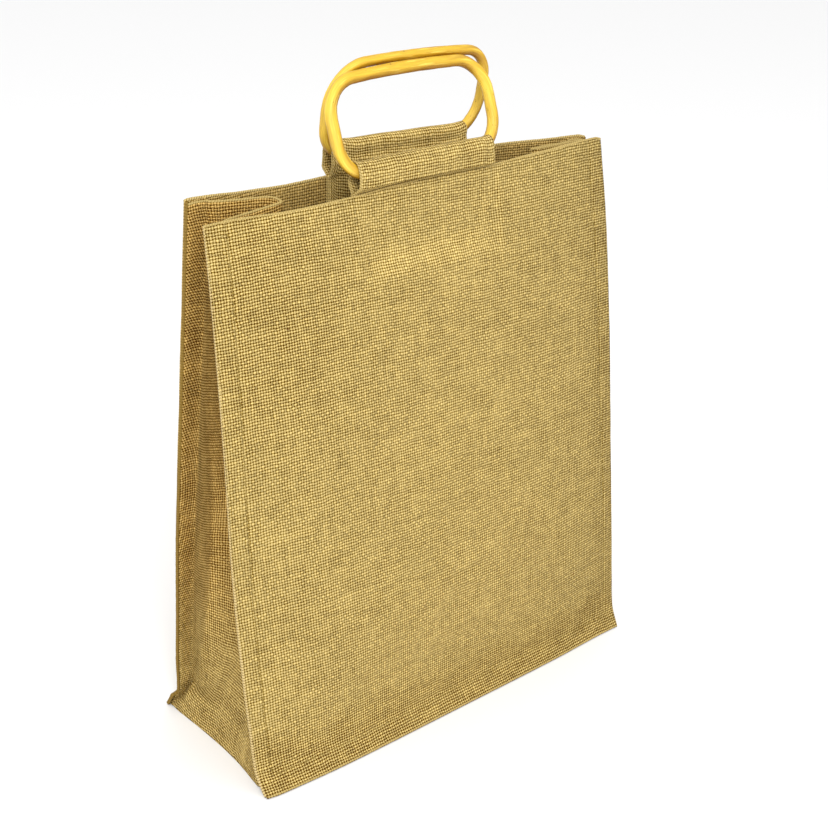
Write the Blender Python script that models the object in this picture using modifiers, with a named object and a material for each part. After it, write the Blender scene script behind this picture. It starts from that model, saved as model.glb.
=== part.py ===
"""A jute tote bag that stands open, with two cane handles in cloth sleeves.

All sizes are in metres. +Z is up, +X runs across the bag to the right, and the front panel faces -Y.
The origin is the middle of the base, on the surface that the bag stands on.
Each table row is one section of the cloth, and each column is named above its table.
"""

import math
from collections import namedtuple

import bmesh
import bpy
import numpy as np

Panel = namedtuple("Panel", "rows tops inward")
Gusset = namedtuple("Gusset", "side folds creases bulge")
Handle = namedtuple("Handle", "x y z lean turn half rise cane lower_left lower_right upper_right upper_left bow")
Sleeve = namedtuple("Sleeve", "panel stations near far drop")

# Cloth
CLOTH = 0.0014  # thickness of the woven jute
LAYER = 0.0019  # from the middle of one cloth to the middle of the cloth sewn to it
SEAM = (0.0105, 0.0155)  # from a panel's edge to its stitch line, at the floor and at the top
BEND = 0.0015  # from the stitch line to where the gusset has turned away from the seam
REST = CLOTH / 2  # height of the middle of cloth that lies on the floor
TOP = 0.392  # the height that the panels' tables are drawn up to
BENDS = (-0.105, 0.097)  # x of the soft upright bends in the panels

# Columns: height, the x of the left and the right edge, then y at the left edge, the left seam, the left
# bend, the middle, the right bend, the right seam and the right edge
FRONT_ROWS = (
    (0.0007, -0.1775, 0.1760, -0.0668, -0.0685, -0.0705, -0.0691, -0.0675, -0.0648, -0.0648),
    (0.0060, -0.1777, 0.1768, -0.0615, -0.0638, -0.0658, -0.0642, -0.0628, -0.0610, -0.0608),
    (0.0160, -0.1780, 0.1779, -0.0546, -0.0562, -0.0600, -0.0578, -0.0568, -0.0558, -0.0550),
    (0.0450, -0.1781, 0.1778, -0.0483, -0.0502, -0.0568, -0.0566, -0.0560, -0.0522, -0.0505),
    (0.0800, -0.1782, 0.1778, -0.0413, -0.0434, -0.0528, -0.0545, -0.0532, -0.0476, -0.0455),
    (0.1600, -0.1778, 0.1780, -0.0280, -0.0297, -0.0382, -0.0405, -0.0396, -0.0348, -0.0330),
    (0.2400, -0.1768, 0.1786, -0.0184, -0.0194, -0.0248, -0.0257, -0.0252, -0.0216, -0.0203),
    (0.3200, -0.1755, 0.1780, -0.0071, -0.0077, -0.0102, -0.0106, -0.0105, -0.0078, -0.0068),
    (0.3600, -0.1748, 0.1760, -0.0003, -0.0008, -0.0025, -0.0026, -0.0026, -0.0006, 0.0002),
    (0.3920, -0.1745, 0.1749, 0.0053, 0.0050, 0.0035, 0.0045, 0.0040, 0.0062, 0.0070),
)
# Columns as above
BACK_ROWS = (
    (0.0007, -0.1704, 0.1755, 0.0668, 0.0668, 0.0669, 0.0670, 0.0670, 0.0668, 0.0665),
    (0.0060, -0.1704, 0.1758, 0.0635, 0.0638, 0.0644, 0.0645, 0.0645, 0.0641, 0.0638),
    (0.0160, -0.1705, 0.1762, 0.0588, 0.0589, 0.0591, 0.0592, 0.0592, 0.0588, 0.0584),
    (0.0450, -0.1722, 0.1765, 0.0562, 0.0564, 0.0575, 0.0580, 0.0578, 0.0560, 0.0552),
    (0.0800, -0.1727, 0.1766, 0.0536, 0.0540, 0.0558, 0.0566, 0.0562, 0.0530, 0.0520),
    (0.1600, -0.1740, 0.1768, 0.0480, 0.0485, 0.0508, 0.0522, 0.0514, 0.0458, 0.0442),
    (0.2400, -0.1738, 0.1768, 0.0416, 0.0422, 0.0454, 0.0474, 0.0462, 0.0384, 0.0364),
    (0.3200, -0.1734, 0.1766, 0.0352, 0.0362, 0.0410, 0.0434, 0.0418, 0.0312, 0.0287),
    (0.3600, -0.1731, 0.1762, 0.0322, 0.0335, 0.0400, 0.0424, 0.0402, 0.0278, 0.0250),
    (0.3920, -0.1728, 0.1752, 0.0300, 0.0320, 0.0400, 0.0430, 0.0400, 0.0262, 0.0230),
)
# Height of each panel's top edge. Columns: x and height
FRONT_TOP = ((-0.1745, 0.3892), (0.1749, 0.3967))
BACK_TOP = (
    (-0.1728, 0.3995),
    (-0.1500, 0.3975),
    (-0.1250, 0.3956),
    (-0.0850, 0.3938),
    (0.0000, 0.3942),
    (0.1000, 0.3933),
    (0.1350, 0.3930),
    (0.1752, 0.3952),
)
FRONT = Panel(FRONT_ROWS, FRONT_TOP, 1)
BACK = Panel(BACK_ROWS, BACK_TOP, -1)
# The back panel's lower left corner stands out beyond the edge above it
EAR_OUT = 0.0050
EAR_HEIGHT = (0.0145, 0.0205)  # the heights over which it steps back to the edge
# The front panel is drawn in over the sewn-down legs of its handle sleeve
DENT_DEPTH = 0.0026
DENT_X = (-0.061, 0.070)
DENT_SIDE = 0.012  # width over which the dent fades at each side
DENT_Z = (0.331, 0.345)  # the slope at its lower end
DENT_TOP = (0.365, 0.392)  # the height over which it dies away again

# Rows and columns of cloth in a panel, between its seams
PANEL_HEIGHTS = (REST, 0.0060, 0.0115, 0.0145, 0.0175, 0.0210, 0.0270, 0.0360, 0.0500, 0.0750, 0.1050, 0.1400)
PANEL_HEIGHTS += (0.1800, 0.2200, 0.2600, 0.2950, 0.3200, 0.3310, 0.3380, 0.3450, 0.3580, 0.3750, TOP)
PANEL_X = (-0.150, -0.135, -0.120, -0.105, -0.087, -0.072, -0.0610, -0.0545, -0.0490, -0.030, -0.010)
PANEL_X += (0.010, 0.030, 0.047, 0.0580, 0.0640, 0.0710, 0.084, 0.097, 0.110, 0.125, 0.140, 0.150)

# Each gusset folds into the bag between the panels.
# Columns: height, the x and y of the fold, and how sharp it is from 0, a soft curve, to 1, a pleat
LEFT_FOLDS = (
    (0.0160, -0.1665, -0.0010, 0.00),
    (0.0300, -0.1640, -0.0010, 0.00),
    (0.0500, -0.1590, -0.0020, 0.00),
    (0.0800, -0.1500, -0.0030, 0.05),
    (0.1200, -0.1400, -0.0005, 0.20),
    (0.1800, -0.1290, 0.0050, 0.45),
    (0.2600, -0.1190, 0.0105, 0.75),
    (0.3400, -0.1125, 0.0155, 0.92),
    (0.3920, -0.1106, 0.0185, 1.00),
)
# Columns as above
RIGHT_FOLDS = (
    (0.0160, 0.1670, 0.0010, 0.00),
    (0.0300, 0.1650, 0.0010, 0.00),
    (0.0500, 0.1600, 0.0010, 0.00),
    (0.0800, 0.1520, 0.0020, 0.05),
    (0.1200, 0.1410, 0.0030, 0.20),
    (0.1800, 0.1300, 0.0070, 0.45),
    (0.2600, 0.1200, 0.0110, 0.75),
    (0.3400, 0.1140, 0.0140, 0.92),
    (0.3920, 0.1120, 0.0165, 1.00),
)
# Across a gusset from the front seam (-1) to the back seam (1).
# Columns: place, then at the top of the pleat the shares of its depth and of its width
PLEAT = (
    (-1.00, 1.00, 0.00),
    (-0.95, 0.93, 0.01),
    (-0.86, 0.82, 0.02),
    (-0.66, 0.55, 0.04),
    (-0.44, 0.28, 0.10),
    (-0.24, 0.06, 0.18),
    (-0.10, 0.00, 0.30),
    (0.00, 0.00, 0.49),
    (0.10, 0.03, 0.72),
    (0.24, 0.11, 0.79),
    (0.44, 0.31, 0.78),
    (0.66, 0.57, 0.86),
    (0.86, 0.83, 0.95),
    (0.95, 0.93, 0.98),
    (1.00, 1.00, 1.00),
)
SOFTNESS = 1.3  # of the curve across a gusset where it isn't a pleat
# Two creases slant across each gusset near the floor, where it flares out to the base's edge.
# Columns: place, height of the lower crease and of the upper crease
LEFT_CREASES = (
    (-1.00, 0.0350, 0.070),
    (-0.81, 0.0270, 0.074),
    (-0.36, 0.0235, 0.074),
    (0.06, 0.0220, 0.055),
    (0.47, 0.0200, 0.036),
    (0.85, 0.0180, 0.024),
    (1.00, 0.0180, 0.025),
)
# Columns as above
RIGHT_CREASES = (
    (-1.00, 0.0260, 0.045),
    (0.00, 0.0220, 0.042),
    (1.00, 0.0180, 0.030),
)
CREASE_IN = 0.0045  # how far the lower crease lies inside the base's edge
# The gusset's foot stands out in a bow from seam to seam.
# Columns: place and how far the foot stands out from the middle of the side
BULGE = (
    (-1.00, 0.0000),
    (-0.95, 0.0030),
    (-0.86, 0.0040),
    (-0.66, 0.0029),
    (-0.30, 0.0006),
    (0.00, 0.0000),
    (0.44, 0.0007),
    (0.66, 0.0015),
    (0.86, 0.0024),
    (0.95, 0.0020),
    (1.00, 0.0000),
)
FOOT_X = 0.1704  # x of the foot in the middle of the side
LEFT = Gusset(0, LEFT_FOLDS, LEFT_CREASES, 1.0)
RIGHT = Gusset(1, RIGHT_FOLDS, RIGHT_CREASES, 0.8)
# Rises up a gusset: 0 at the floor, 1 and 2 at its creases and 3 at the top.
# Columns: rise, then the height of the stitch line and of the flange's edge, where the rise is under 1
CORNER = (
    (0.00, 0.0085, 0.0028),
    (0.08, 0.0120, 0.0065),
    (0.30, 0.0155, 0.0135),
)
RISES = (0.65, 1.0, 1.5, 2.0, 2.07, 2.15, 2.26, 2.38, 2.5, 2.62, 2.74, 2.84, 2.93, 3.0)
STRIP_TOP = (0.0006, 0.0020)  # how far the strip ends below the front and the back panel's top edges

# Base
BASE_SEAM = 0.0115  # height of the stitch line under the panels
BASE_DROP = 0.020  # width over which the base comes down from that seam to the floor
CORNER_DROP = 0.006  # the same at the bag's corners
BASE_X = (-0.148, -0.125, -0.100, -0.050, 0.0, 0.050, 0.100, 0.125, 0.148)
# The sections of the base next to each gusset.
# Columns: x of the cloth, of the stitch line and of the flange's edge
BASE_ENDS = ((0.1650, 0.1600, 0.1660), (0.1580, 0.1570, 0.1580))

# Handles: each ring lies in the plane that leans with it. The bow is how far the upper bar, the left side
# and the right side stand out from straight.
HANDLES = {
    "front": Handle(
        x=0.0003, y=0.0047, z=0.4046, lean=21.6, turn=0.99, half=0.0688, rise=0.0609, cane=0.0082,
        lower_left=0.0212, lower_right=0.0240, upper_right=0.0234, upper_left=0.0228,
        bow=(0.0029, -0.0003, -0.0006),
    ),
    "back": Handle(
        x=0.0111, y=0.0426, z=0.4062, lean=-7.3, turn=-0.31, half=0.0689, rise=0.0610, cane=0.0072,
        lower_left=0.0210, lower_right=0.0290, upper_right=0.0202, upper_left=0.0274,
        bow=(0.0030, 0.0005, -0.0007),
    ),
}
CANE_STEP = 0.0055  # spacing of the points along a bend

# Sleeves: a strip of cloth over each ring's lower bar, with both legs sewn inside the panel.
# Columns: x over the bar, x of the legs, and height of the loop's middle above the bar's
FRONT_STATIONS = (
    (-0.0588, -0.0588, 0.0046),
    (-0.0545, -0.0545, 0.0028),
    (-0.0490, -0.0490, 0.0022),
    (-0.0300, -0.0300, 0.0021),
    (-0.0100, -0.0100, 0.0020),
    (0.0100, 0.0100, 0.0026),
    (0.0300, 0.0300, 0.0038),
    (0.0470, 0.0470, 0.0048),
    (0.0540, 0.0580, 0.0051),
    (0.0593, 0.0640, 0.0066),
)
BACK_STATIONS = (
    (-0.0530, -0.0550, 0.0112),
    (-0.0470, -0.0490, 0.0077),
    (-0.0300, -0.0300, 0.0061),
    (-0.0100, -0.0100, 0.0056),
    (0.0100, 0.0100, 0.0046),
    (0.0300, 0.0300, 0.0044),
    (0.0470, 0.0470, 0.0049),
    (0.0580, 0.0580, 0.0052),
    (0.0668, 0.0668, 0.0060),
)
# How far the wall next to the panel and the wall inside the bag hang away from the cane, and how far below
# the bar the near wall turns in to the seam at the sleeve's left and right end
SLEEVES = {
    "front": Sleeve(FRONT, FRONT_STATIONS, 0.0000, 0.0024, (0.0035, 0.0072)),
    "back": Sleeve(BACK, BACK_STATIONS, 0.0000, 0.0014, (0.0075, 0.0085)),
}
LEG_HEIGHTS = (0.338, 0.345, 0.358, 0.375, TOP)
SNUG = 0.0004  # from the cane to the cloth round it
NECK = 0.0026  # how far above the panel's edge the near wall passes over it


def smooth(knots, values, at):
    """The value at a point of a curve through the knots that never swings past them."""
    knots, values = np.asarray(knots, float), np.asarray(values, float)
    at = min(max(at, knots[0]), knots[-1])
    steps = np.diff(knots)
    slopes = np.diff(values) / steps
    tangents = np.zeros(len(knots))
    tangents[0], tangents[-1] = slopes[0], slopes[-1]
    for i in range(1, len(knots) - 1):
        if slopes[i - 1] * slopes[i] > 0:
            tangents[i] = 2 / (1 / slopes[i - 1] + 1 / slopes[i])
    i = min(int(np.searchsorted(knots, at, side="right")) - 1, len(steps) - 1)
    t = (at - knots[i]) / steps[i]
    ends = (2 * t**3 - 3 * t**2 + 1) * values[i] + (3 * t**2 - 2 * t**3) * values[i + 1]
    turns = (t**3 - 2 * t**2 + t) * tangents[i] + (t**3 - t**2) * tangents[i + 1]
    return ends + steps[i] * turns


def ease(low, high, at):
    """0 below low, 1 above high and a smooth rise between them."""
    t = min(max((at - low) / (high - low), 0.0), 1.0)
    return t * t * (3 - 2 * t)


def mix(low, high, share):
    return low + (high - low) * share


def column(rows, number, at):
    """One column's value, by the table's first column."""
    return smooth([row[0] for row in rows], [row[number] for row in rows], at)


def edge_x(panel, side, height):
    """x of a panel's left (side 0) or right (side 1) edge at a height."""
    x = column(panel.rows, 1 + side, height)
    if panel is BACK and side == 0:
        x -= EAR_OUT * (1 - ease(*EAR_HEIGHT, height))
    return x


def seam_x(panel, side, height):
    inward = (1, -1)[side]
    return column(panel.rows, 1 + side, height) + inward * mix(*SEAM, height / TOP)


def dent(x, height):
    across = ease(DENT_X[0], DENT_X[0] + DENT_SIDE, x) - ease(DENT_X[1] - DENT_SIDE, DENT_X[1], x)
    up = ease(*DENT_Z, height) - ease(*DENT_TOP, height)
    return DENT_DEPTH * across * up


def panel_y(panel, x, height):
    """y of the middle of a panel's cloth at a place, by the table's own heights."""
    left, right = (column(panel.rows, number, height) for number in (1, 2))
    seams = [seam_x(panel, side, height) for side in (0, 1)]
    places = (left, seams[0], BENDS[0], 0.0, BENDS[1], seams[1], right)
    depths = [column(panel.rows, number, height) for number in range(3, 10)]
    y = smooth(places, depths, x)
    return y + dent(x, height) if panel is FRONT else y


def real_height(panel, x, height):
    """The real height for one of the tables', as the panel's top edge isn't level."""
    return height + (column(panel.tops, 1, x) - TOP) * (height / TOP) ** 2


def on_panel(panel, x, height):
    return np.array((x, panel_y(panel, x, height), real_height(panel, x, height)))


def behind(panel, x, height, layers=1):
    """The point this many layers of cloth inside a panel."""
    step = 0.001
    low, high = max(height - step, REST), min(height + step, TOP)
    across = on_panel(panel, x + step, height) - on_panel(panel, x - step, height)
    up = on_panel(panel, x, high) - on_panel(panel, x, low)
    normal = np.cross(up, across) * panel.inward
    return on_panel(panel, x, height) + normal / np.linalg.norm(normal) * LAYER * layers


def material(name, colour, roughness):
    made = bpy.data.materials.new(name)
    made.use_nodes = True
    shader = made.node_tree.nodes["Principled BSDF"]
    shader.inputs["Base Color"].default_value = (*colour, 1.0)
    shader.inputs["Roughness"].default_value = roughness
    shader.inputs["Metallic"].default_value = 0.0
    return made


def sheet(name, points, finish, collection):
    """A cloth solid from a grid of points, rows by columns, in the middle of its thickness."""
    rows, columns = len(points), len(points[0])
    mesh = bpy.data.meshes.new(name)
    grid = bmesh.new()
    bmesh.ops.create_grid(grid, x_segments=columns - 1, y_segments=rows - 1, size=0.5)
    for vertex in grid.verts:
        i = round((vertex.co.y + 0.5) * (rows - 1))
        j = round((vertex.co.x + 0.5) * (columns - 1))
        vertex.co = points[i][j]
    bmesh.ops.recalc_face_normals(grid, faces=grid.faces)
    grid.to_mesh(mesh)
    grid.free()
    cloth = bpy.data.objects.new(name, mesh)
    mesh.materials.append(finish)
    mesh.shade_smooth()
    collection.objects.link(cloth)
    thick = cloth.modifiers.new("Thickness", "SOLIDIFY")
    thick.thickness = CLOTH
    thick.offset = 0.0
    return cloth


def add_panel(name, panel, finish, collection):
    grid = []
    for height in PANEL_HEIGHTS:
        edges = [edge_x(panel, side, height) for side in (0, 1)]
        seams = [seam_x(panel, side, height) for side in (0, 1)]
        left = [edges[0], mix(edges[0], seams[0], 0.5), seams[0]]
        right = [seams[1], mix(edges[1], seams[1], 0.5), edges[1]]
        grid.append([on_panel(panel, x, height) for x in (*left, *PANEL_X, *right)])
    return sheet(name, grid, finish, collection)


def flange(panel, stitch, tip):
    """Three points from the strip's edge to the stitch line, each given by x and height on the panel."""
    middle = [mix(a, b, 0.5) for a, b in zip(stitch, tip)]
    return [behind(panel, *spot) for spot in (tip, middle, stitch)]


def web_x(gusset, place, height, seam):
    """x of the gusset's folded part at a height, for the x of the seam on that side."""
    fold, pleat = column(gusset.folds, 1, height), column(gusset.folds, 3, height)
    soft = (math.hypot(place, SOFTNESS) - SOFTNESS) / (math.hypot(1.0, SOFTNESS) - SOFTNESS)
    return mix(fold, seam, mix(soft, column(PLEAT, 1, place), pleat))


def web_y(gusset, place, height, front, back):
    fold, pleat = column(gusset.folds, 2, height), column(gusset.folds, 3, height)
    fold = min(max(fold, front + 0.005), back - 0.005)
    soft = mix(front, back, (place + 1) / 2) + ((fold - (front + back) / 2)) * (1 - place**2)
    return mix(soft, mix(front, back, column(PLEAT, 2, place)), pleat)


def gusset_section(gusset, rise):
    """One line of points across a gusset, from flange tip to flange tip."""
    side = gusset.side
    sign = (-1, 1)[side]
    flanges, roots = [], []
    for panel, place in ((FRONT, -1), (BACK, 1)):
        if rise < 0.5:
            stitch_z, tip_z = (column(CORNER, number, rise) for number in (1, 2))
        else:
            stitch_z = tip_z = seam_height(gusset, place, rise)
        tip_x = edge_x(panel, side, tip_z) - sign * 0.0010
        stitch_x = seam_x(panel, side, stitch_z)
        flanges.append(flange(panel, (stitch_x, stitch_z), (tip_x, tip_z)))
        x, y, z = flanges[-1][-1]
        roots.append((x - sign * BEND * 0.7, y + panel.inward * BEND, z))
    (front_x, front_y, front_z), (back_x, back_y, back_z) = roots
    web = []
    for place, *_ in PLEAT:
        seam = mix(front_x, back_x, (place + 1) / 2)
        lower, upper = (column(gusset.creases, number, place) for number in (1, 2))
        top = mix(front_z, back_z, (place + 1) / 2)
        foot = sign * (FOOT_X + gusset.bulge * column(BULGE, 1, place))
        crease_x = foot - sign * CREASE_IN
        if rise <= 1:
            z, x = mix(REST, lower, rise), mix(foot, crease_x, rise)
        elif rise <= 2:
            z = mix(lower, upper, rise - 1)
            x = mix(crease_x, web_x(gusset, place, upper, seam), rise - 1)
        else:
            z = mix(upper, top, rise - 2)
            x = web_x(gusset, place, z, seam)
        y = web_y(gusset, place, max(z, upper), front_y, back_y)
        near = 1 - ease(0.0, CORNER_DROP, min(y - front_y, back_y - y))
        root = front_z if place < 0 else back_z
        root_x = front_x if place < 0 else back_x
        web.append((mix(x, root_x, near), y, mix(z, root, near)))
    return flanges[0] + web + flanges[1][::-1]


def seam_height(gusset, place, rise):
    """Table height at which a section meets a panel's seam."""
    lower, upper = (column(gusset.creases, number, place) for number in (1, 2))
    if rise <= 1:
        return mix(CORNER[-1][1], lower, (rise - CORNER[-1][0]) / (1 - CORNER[-1][0]))
    if rise <= 2:
        return mix(lower, upper, rise - 1)
    return mix(upper, TOP - STRIP_TOP[place > 0], rise - 2)


def base_section(x, stitch_x, tip_x):
    """One line of points across the base, flange tip to flange tip."""
    flanges = [flange(panel, (stitch_x, BASE_SEAM), (tip_x, 0.0028)) for panel in (FRONT, BACK)]
    start = flanges[0][-1][1] + BEND
    end = flanges[1][-1][1] - BEND
    web = []
    for place, *_ in PLEAT:
        y = mix(start, end, (place + 1) / 2)
        near = 1 - ease(0.0, BASE_DROP, min(y - start, end - y))
        root = flanges[place > 0][-1][2]
        web.append((mix(x, stitch_x, near), y, mix(REST, root - BEND * 0.5, near)))
    return flanges[0] + web + flanges[1][::-1]


def add_strip(finish, collection):
    """The one strip that makes the left gusset, the base and the right gusset."""
    rises = [row[0] for row in CORNER] + list(RISES)
    ends = [base_section(-x, -stitch, -tip) for x, stitch, tip in BASE_ENDS]
    grid = [gusset_section(LEFT, rise) for rise in rises[::-1]]
    grid += ends + [base_section(x, x, x) for x in BASE_X]
    grid += [base_section(*spot) for spot in BASE_ENDS[::-1]]
    grid += [gusset_section(RIGHT, rise) for rise in rises]
    return sheet("gusset_strip", grid, finish, collection)


def lean_axes(degrees):
    """(y, z) of the ring's own up and front directions."""
    angle = math.radians(degrees)
    return (math.sin(angle), math.cos(angle)), (-math.cos(angle), math.sin(angle))


def bar_centre(handle, x):
    """(y, z) of the middle of a ring's lower bar at a place along it."""
    up, _ = lean_axes(handle.lean)
    high = (x - handle.x) * math.tan(math.radians(handle.turn))
    return handle.y + high * up[0], handle.z + high * up[1]


def sleeve_section(place, x, leg_x, rise, share):
    """One line of points round a sleeve: up the leg next to the panel, over the bar and down again."""
    handle, sleeve = HANDLES[place], SLEEVES[place]
    panel = sleeve.panel
    bar_y, bar_z = bar_centre(handle, x)
    up, ahead = lean_axes(handle.lean)
    ahead = (ahead[0] * panel.inward, ahead[1] * panel.inward)
    radius = handle.cane / 2 + SNUG + CLOTH / 2
    outside = [behind(panel, leg_x, height, 1) for height in LEG_HEIGHTS]
    inside = [behind(panel, leg_x, height, 2) for height in LEG_HEIGHTS]
    rim = on_panel(panel, leg_x, TOP)

    def loop(angle, centre):
        turn = math.radians(angle)
        forward = radius * math.sin(turn)
        high = centre - radius * math.cos(turn)
        return (x, bar_y + high * up[0] + forward * ahead[0], bar_z + high * up[1] + forward * ahead[1])

    level = handle.lean * panel.inward
    over = [loop(90 - level, 0.0)]
    over += [loop(angle, rise) for angle in (90, 112, 135, 157, 180, 203, 225, 248, 270)]
    over += [loop(270 - level, 0.0)]
    out = -panel.inward
    drop = mix(*sleeve.drop, share)
    near = [
        (mix(leg_x, x, 0.4), rim[1] + out * 0.0002 + panel.inward * 0.0009, rim[2] + NECK),
        (mix(leg_x, x, 0.8), bar_y + out * (radius + sleeve.near), bar_z - drop),
    ]
    far = [
        (mix(leg_x, x, 0.8), bar_y - out * (radius + sleeve.far), bar_z - 0.0045),
        (mix(leg_x, x, 0.3), inside[-1][1] + panel.inward * 0.0012, rim[2] + 0.0022),
    ]
    return outside + near + over + far + inside[::-1]


def add_sleeve(place, finish, collection):
    stations = SLEEVES[place].stations
    grid = []
    for x, leg_x, rise in stations:
        share = (x - stations[0][0]) / (stations[-1][0] - stations[0][0])
        grid.append(sleeve_section(place, x, leg_x, rise, share))
    return sheet(f"handle_sleeve_{place}", grid, finish, collection)


def ring_outline(handle):
    """(x, z) round the middle of the cane, from the lower bar's middle to the right."""
    half, rise = handle.half, handle.rise
    corners = (
        (1, 0, handle.lower_right, -90),
        (1, 1, handle.upper_right, 0),
        (-1, 1, handle.upper_left, 90),
        (-1, 0, handle.lower_left, 180),
    )
    points = []
    for side, high, radius, start in corners:
        x = side * (half - radius)
        z = rise - radius if high else radius
        steps = max(4, round(radius * math.pi / 2 / CANE_STEP))
        for i in range(steps + 1):
            angle = math.radians(start + 90 * i / steps)
            points.append((x + radius * math.cos(angle), z + radius * math.sin(angle)))
    filled = []
    for (x, z), (next_x, next_z) in zip(points, points[1:] + points[:1]):
        count = max(1, round(math.hypot(next_x - x, next_z - z) / (2.5 * CANE_STEP)))
        filled += [(mix(x, next_x, i / count), mix(z, next_z, i / count)) for i in range(count)]
    top, left, right = handle.bow
    bowed = []
    for x, z in filled:
        side = right if x > 0 else -left
        lift = top * (1 - (x / half) ** 2) * z / rise
        bowed.append((x + side * (1 - (2 * z / rise - 1) ** 2) * abs(x / half), z + lift))
    return bowed


def add_ring(place, finish, collection):
    handle = HANDLES[place]
    up, _ = lean_axes(handle.lean)
    turn = math.radians(handle.turn)
    outline = ring_outline(handle)
    curve = bpy.data.curves.new(f"cane_ring_{place}", "CURVE")
    curve.dimensions = "3D"
    curve.bevel_depth = handle.cane / 2
    curve.bevel_resolution = 3
    curve.resolution_u = 1
    spline = curve.splines.new("POLY")
    spline.use_cyclic_u = True
    spline.points.add(len(outline) - 1)
    for point, (across, high) in zip(spline.points, outline):
        side = across * math.cos(turn) - high * math.sin(turn)
        high = across * math.sin(turn) + high * math.cos(turn)
        point.co = (handle.x + side, handle.y + high * up[0], handle.z + high * up[1], 1.0)
    ring = bpy.data.objects.new(f"cane_ring_{place}", curve)
    curve.materials.append(finish)
    collection.objects.link(ring)
    return ring


def main():
    for thing in list(bpy.data.objects):
        bpy.data.objects.remove(thing, do_unlink=True)
    bag = bpy.data.collections.new("jute_tote_bag")
    bpy.context.scene.collection.children.link(bag)
    jute = material("Jute cloth", (0.50, 0.37, 0.13), 0.9)
    gusset_jute = material("Gusset jute", (0.44, 0.31, 0.10), 0.9)
    sleeve_jute = material("Sleeve jute", (0.47, 0.34, 0.12), 0.9)
    cane = material("Varnished cane", (0.80, 0.44, 0.02), 0.3)
    add_panel("front_panel", FRONT, jute, bag)
    add_panel("back_panel", BACK, jute, bag)
    add_strip(gusset_jute, bag)
    for place in ("front", "back"):
        add_sleeve(place, sleeve_jute, bag)
        add_ring(place, cane, bag)


main()
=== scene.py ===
"""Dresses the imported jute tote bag: woven cloth, sewn seams, frayed yarn and varnished cane handles.

All sizes are in metres. +Z is up, +X runs across the bag to the right, and the front panel faces -Y.
The bag stands on the floor at z = 0, and the origin is the middle of its base.
"""

import math
import random
from collections import namedtuple
from functools import reduce

import bpy
import numpy as np
from mathutils import Matrix, Vector, noise


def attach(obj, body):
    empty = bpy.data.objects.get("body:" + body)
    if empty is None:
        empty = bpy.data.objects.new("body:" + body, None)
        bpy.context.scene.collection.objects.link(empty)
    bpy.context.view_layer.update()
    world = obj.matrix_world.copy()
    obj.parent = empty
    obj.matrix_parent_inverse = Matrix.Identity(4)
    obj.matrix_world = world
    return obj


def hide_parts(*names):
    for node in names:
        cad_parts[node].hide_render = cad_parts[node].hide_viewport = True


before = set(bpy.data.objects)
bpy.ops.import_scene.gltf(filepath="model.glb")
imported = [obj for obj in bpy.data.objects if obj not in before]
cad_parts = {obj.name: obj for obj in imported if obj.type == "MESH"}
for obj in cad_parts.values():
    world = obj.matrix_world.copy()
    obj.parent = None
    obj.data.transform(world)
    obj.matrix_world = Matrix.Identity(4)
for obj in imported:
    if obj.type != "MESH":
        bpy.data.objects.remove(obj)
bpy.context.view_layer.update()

bl_info = {
    "name": "Jute tote bag",
    "version": (1, 0, 0),
    "blender": (4, 5, 0),
    "location": "View3D > Sidebar > Jute bag",
    "description": "Makes the cloth, seams, frayed yarn and cane handles of a jute tote bag",
    "category": "Object",
}

Panel = namedtuple("Panel", "rows tops inward")
Gusset = namedtuple("Gusset", "side creases bulge")
Handle = namedtuple(
    "Handle",
    "x y z lean turn half rise cane lower_left lower_right upper_right upper_left bow",
)
Sleeve = namedtuple("Sleeve", "panel stations far drop")
Uneven = namedtuple("Uneven", "mean size patches seed streaks streak_seed")

# Cloth
CLOTH = 0.0013  # thickness of the woven jute
LAYER = 0.0019  # from the middle of one cloth to the middle of the cloth sewn to it
SEAM = (0.0105, 0.0155)  # from a panel's edge to its stitch line, at the floor and at the top
BEND = 0.0015  # from the stitch line to where the gusset has turned away from the seam
REST = 0.0007  # height of the middle of cloth that lies on the floor
FOLD = 0.0014  # height of the middle of the fold where a panel turns under
TOP = 0.392  # the height that the panels' tables are drawn up to
BENDS = (-0.105, 0.097)  # x of the soft upright bends in the panels
SPACING = 0.0030  # of the points in a cloth piece

# Columns: height, the x of the left and the right edge, then y at the left edge, the left seam, the left
# bend, the middle, the right bend, the right seam and the right edge
FRONT_ROWS = (
    (0.0007, -0.1775, 0.1760, -0.0668, -0.0685, -0.0705, -0.0691, -0.0675, -0.0648, -0.0648),
    (0.0060, -0.1777, 0.1768, -0.0615, -0.0638, -0.0658, -0.0642, -0.0628, -0.0610, -0.0608),
    (0.0160, -0.1780, 0.1779, -0.0546, -0.0562, -0.0600, -0.0578, -0.0568, -0.0558, -0.0550),
    (0.0450, -0.1781, 0.1778, -0.0483, -0.0502, -0.0568, -0.0566, -0.0560, -0.0522, -0.0505),
    (0.0800, -0.1782, 0.1778, -0.0413, -0.0434, -0.0528, -0.0545, -0.0532, -0.0476, -0.0455),
    (0.1600, -0.1778, 0.1780, -0.0280, -0.0297, -0.0382, -0.0405, -0.0396, -0.0348, -0.0330),
    (0.2400, -0.1768, 0.1786, -0.0184, -0.0194, -0.0248, -0.0257, -0.0252, -0.0216, -0.0203),
    (0.3200, -0.1755, 0.1780, -0.0071, -0.0077, -0.0102, -0.0106, -0.0105, -0.0078, -0.0068),
    (0.3600, -0.1748, 0.1760, -0.0003, -0.0008, -0.0025, -0.0026, -0.0026, -0.0006, 0.0002),
    (0.3920, -0.1745, 0.1749, 0.0053, 0.0050, 0.0035, 0.0045, 0.0040, 0.0062, 0.0070),
)
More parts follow.
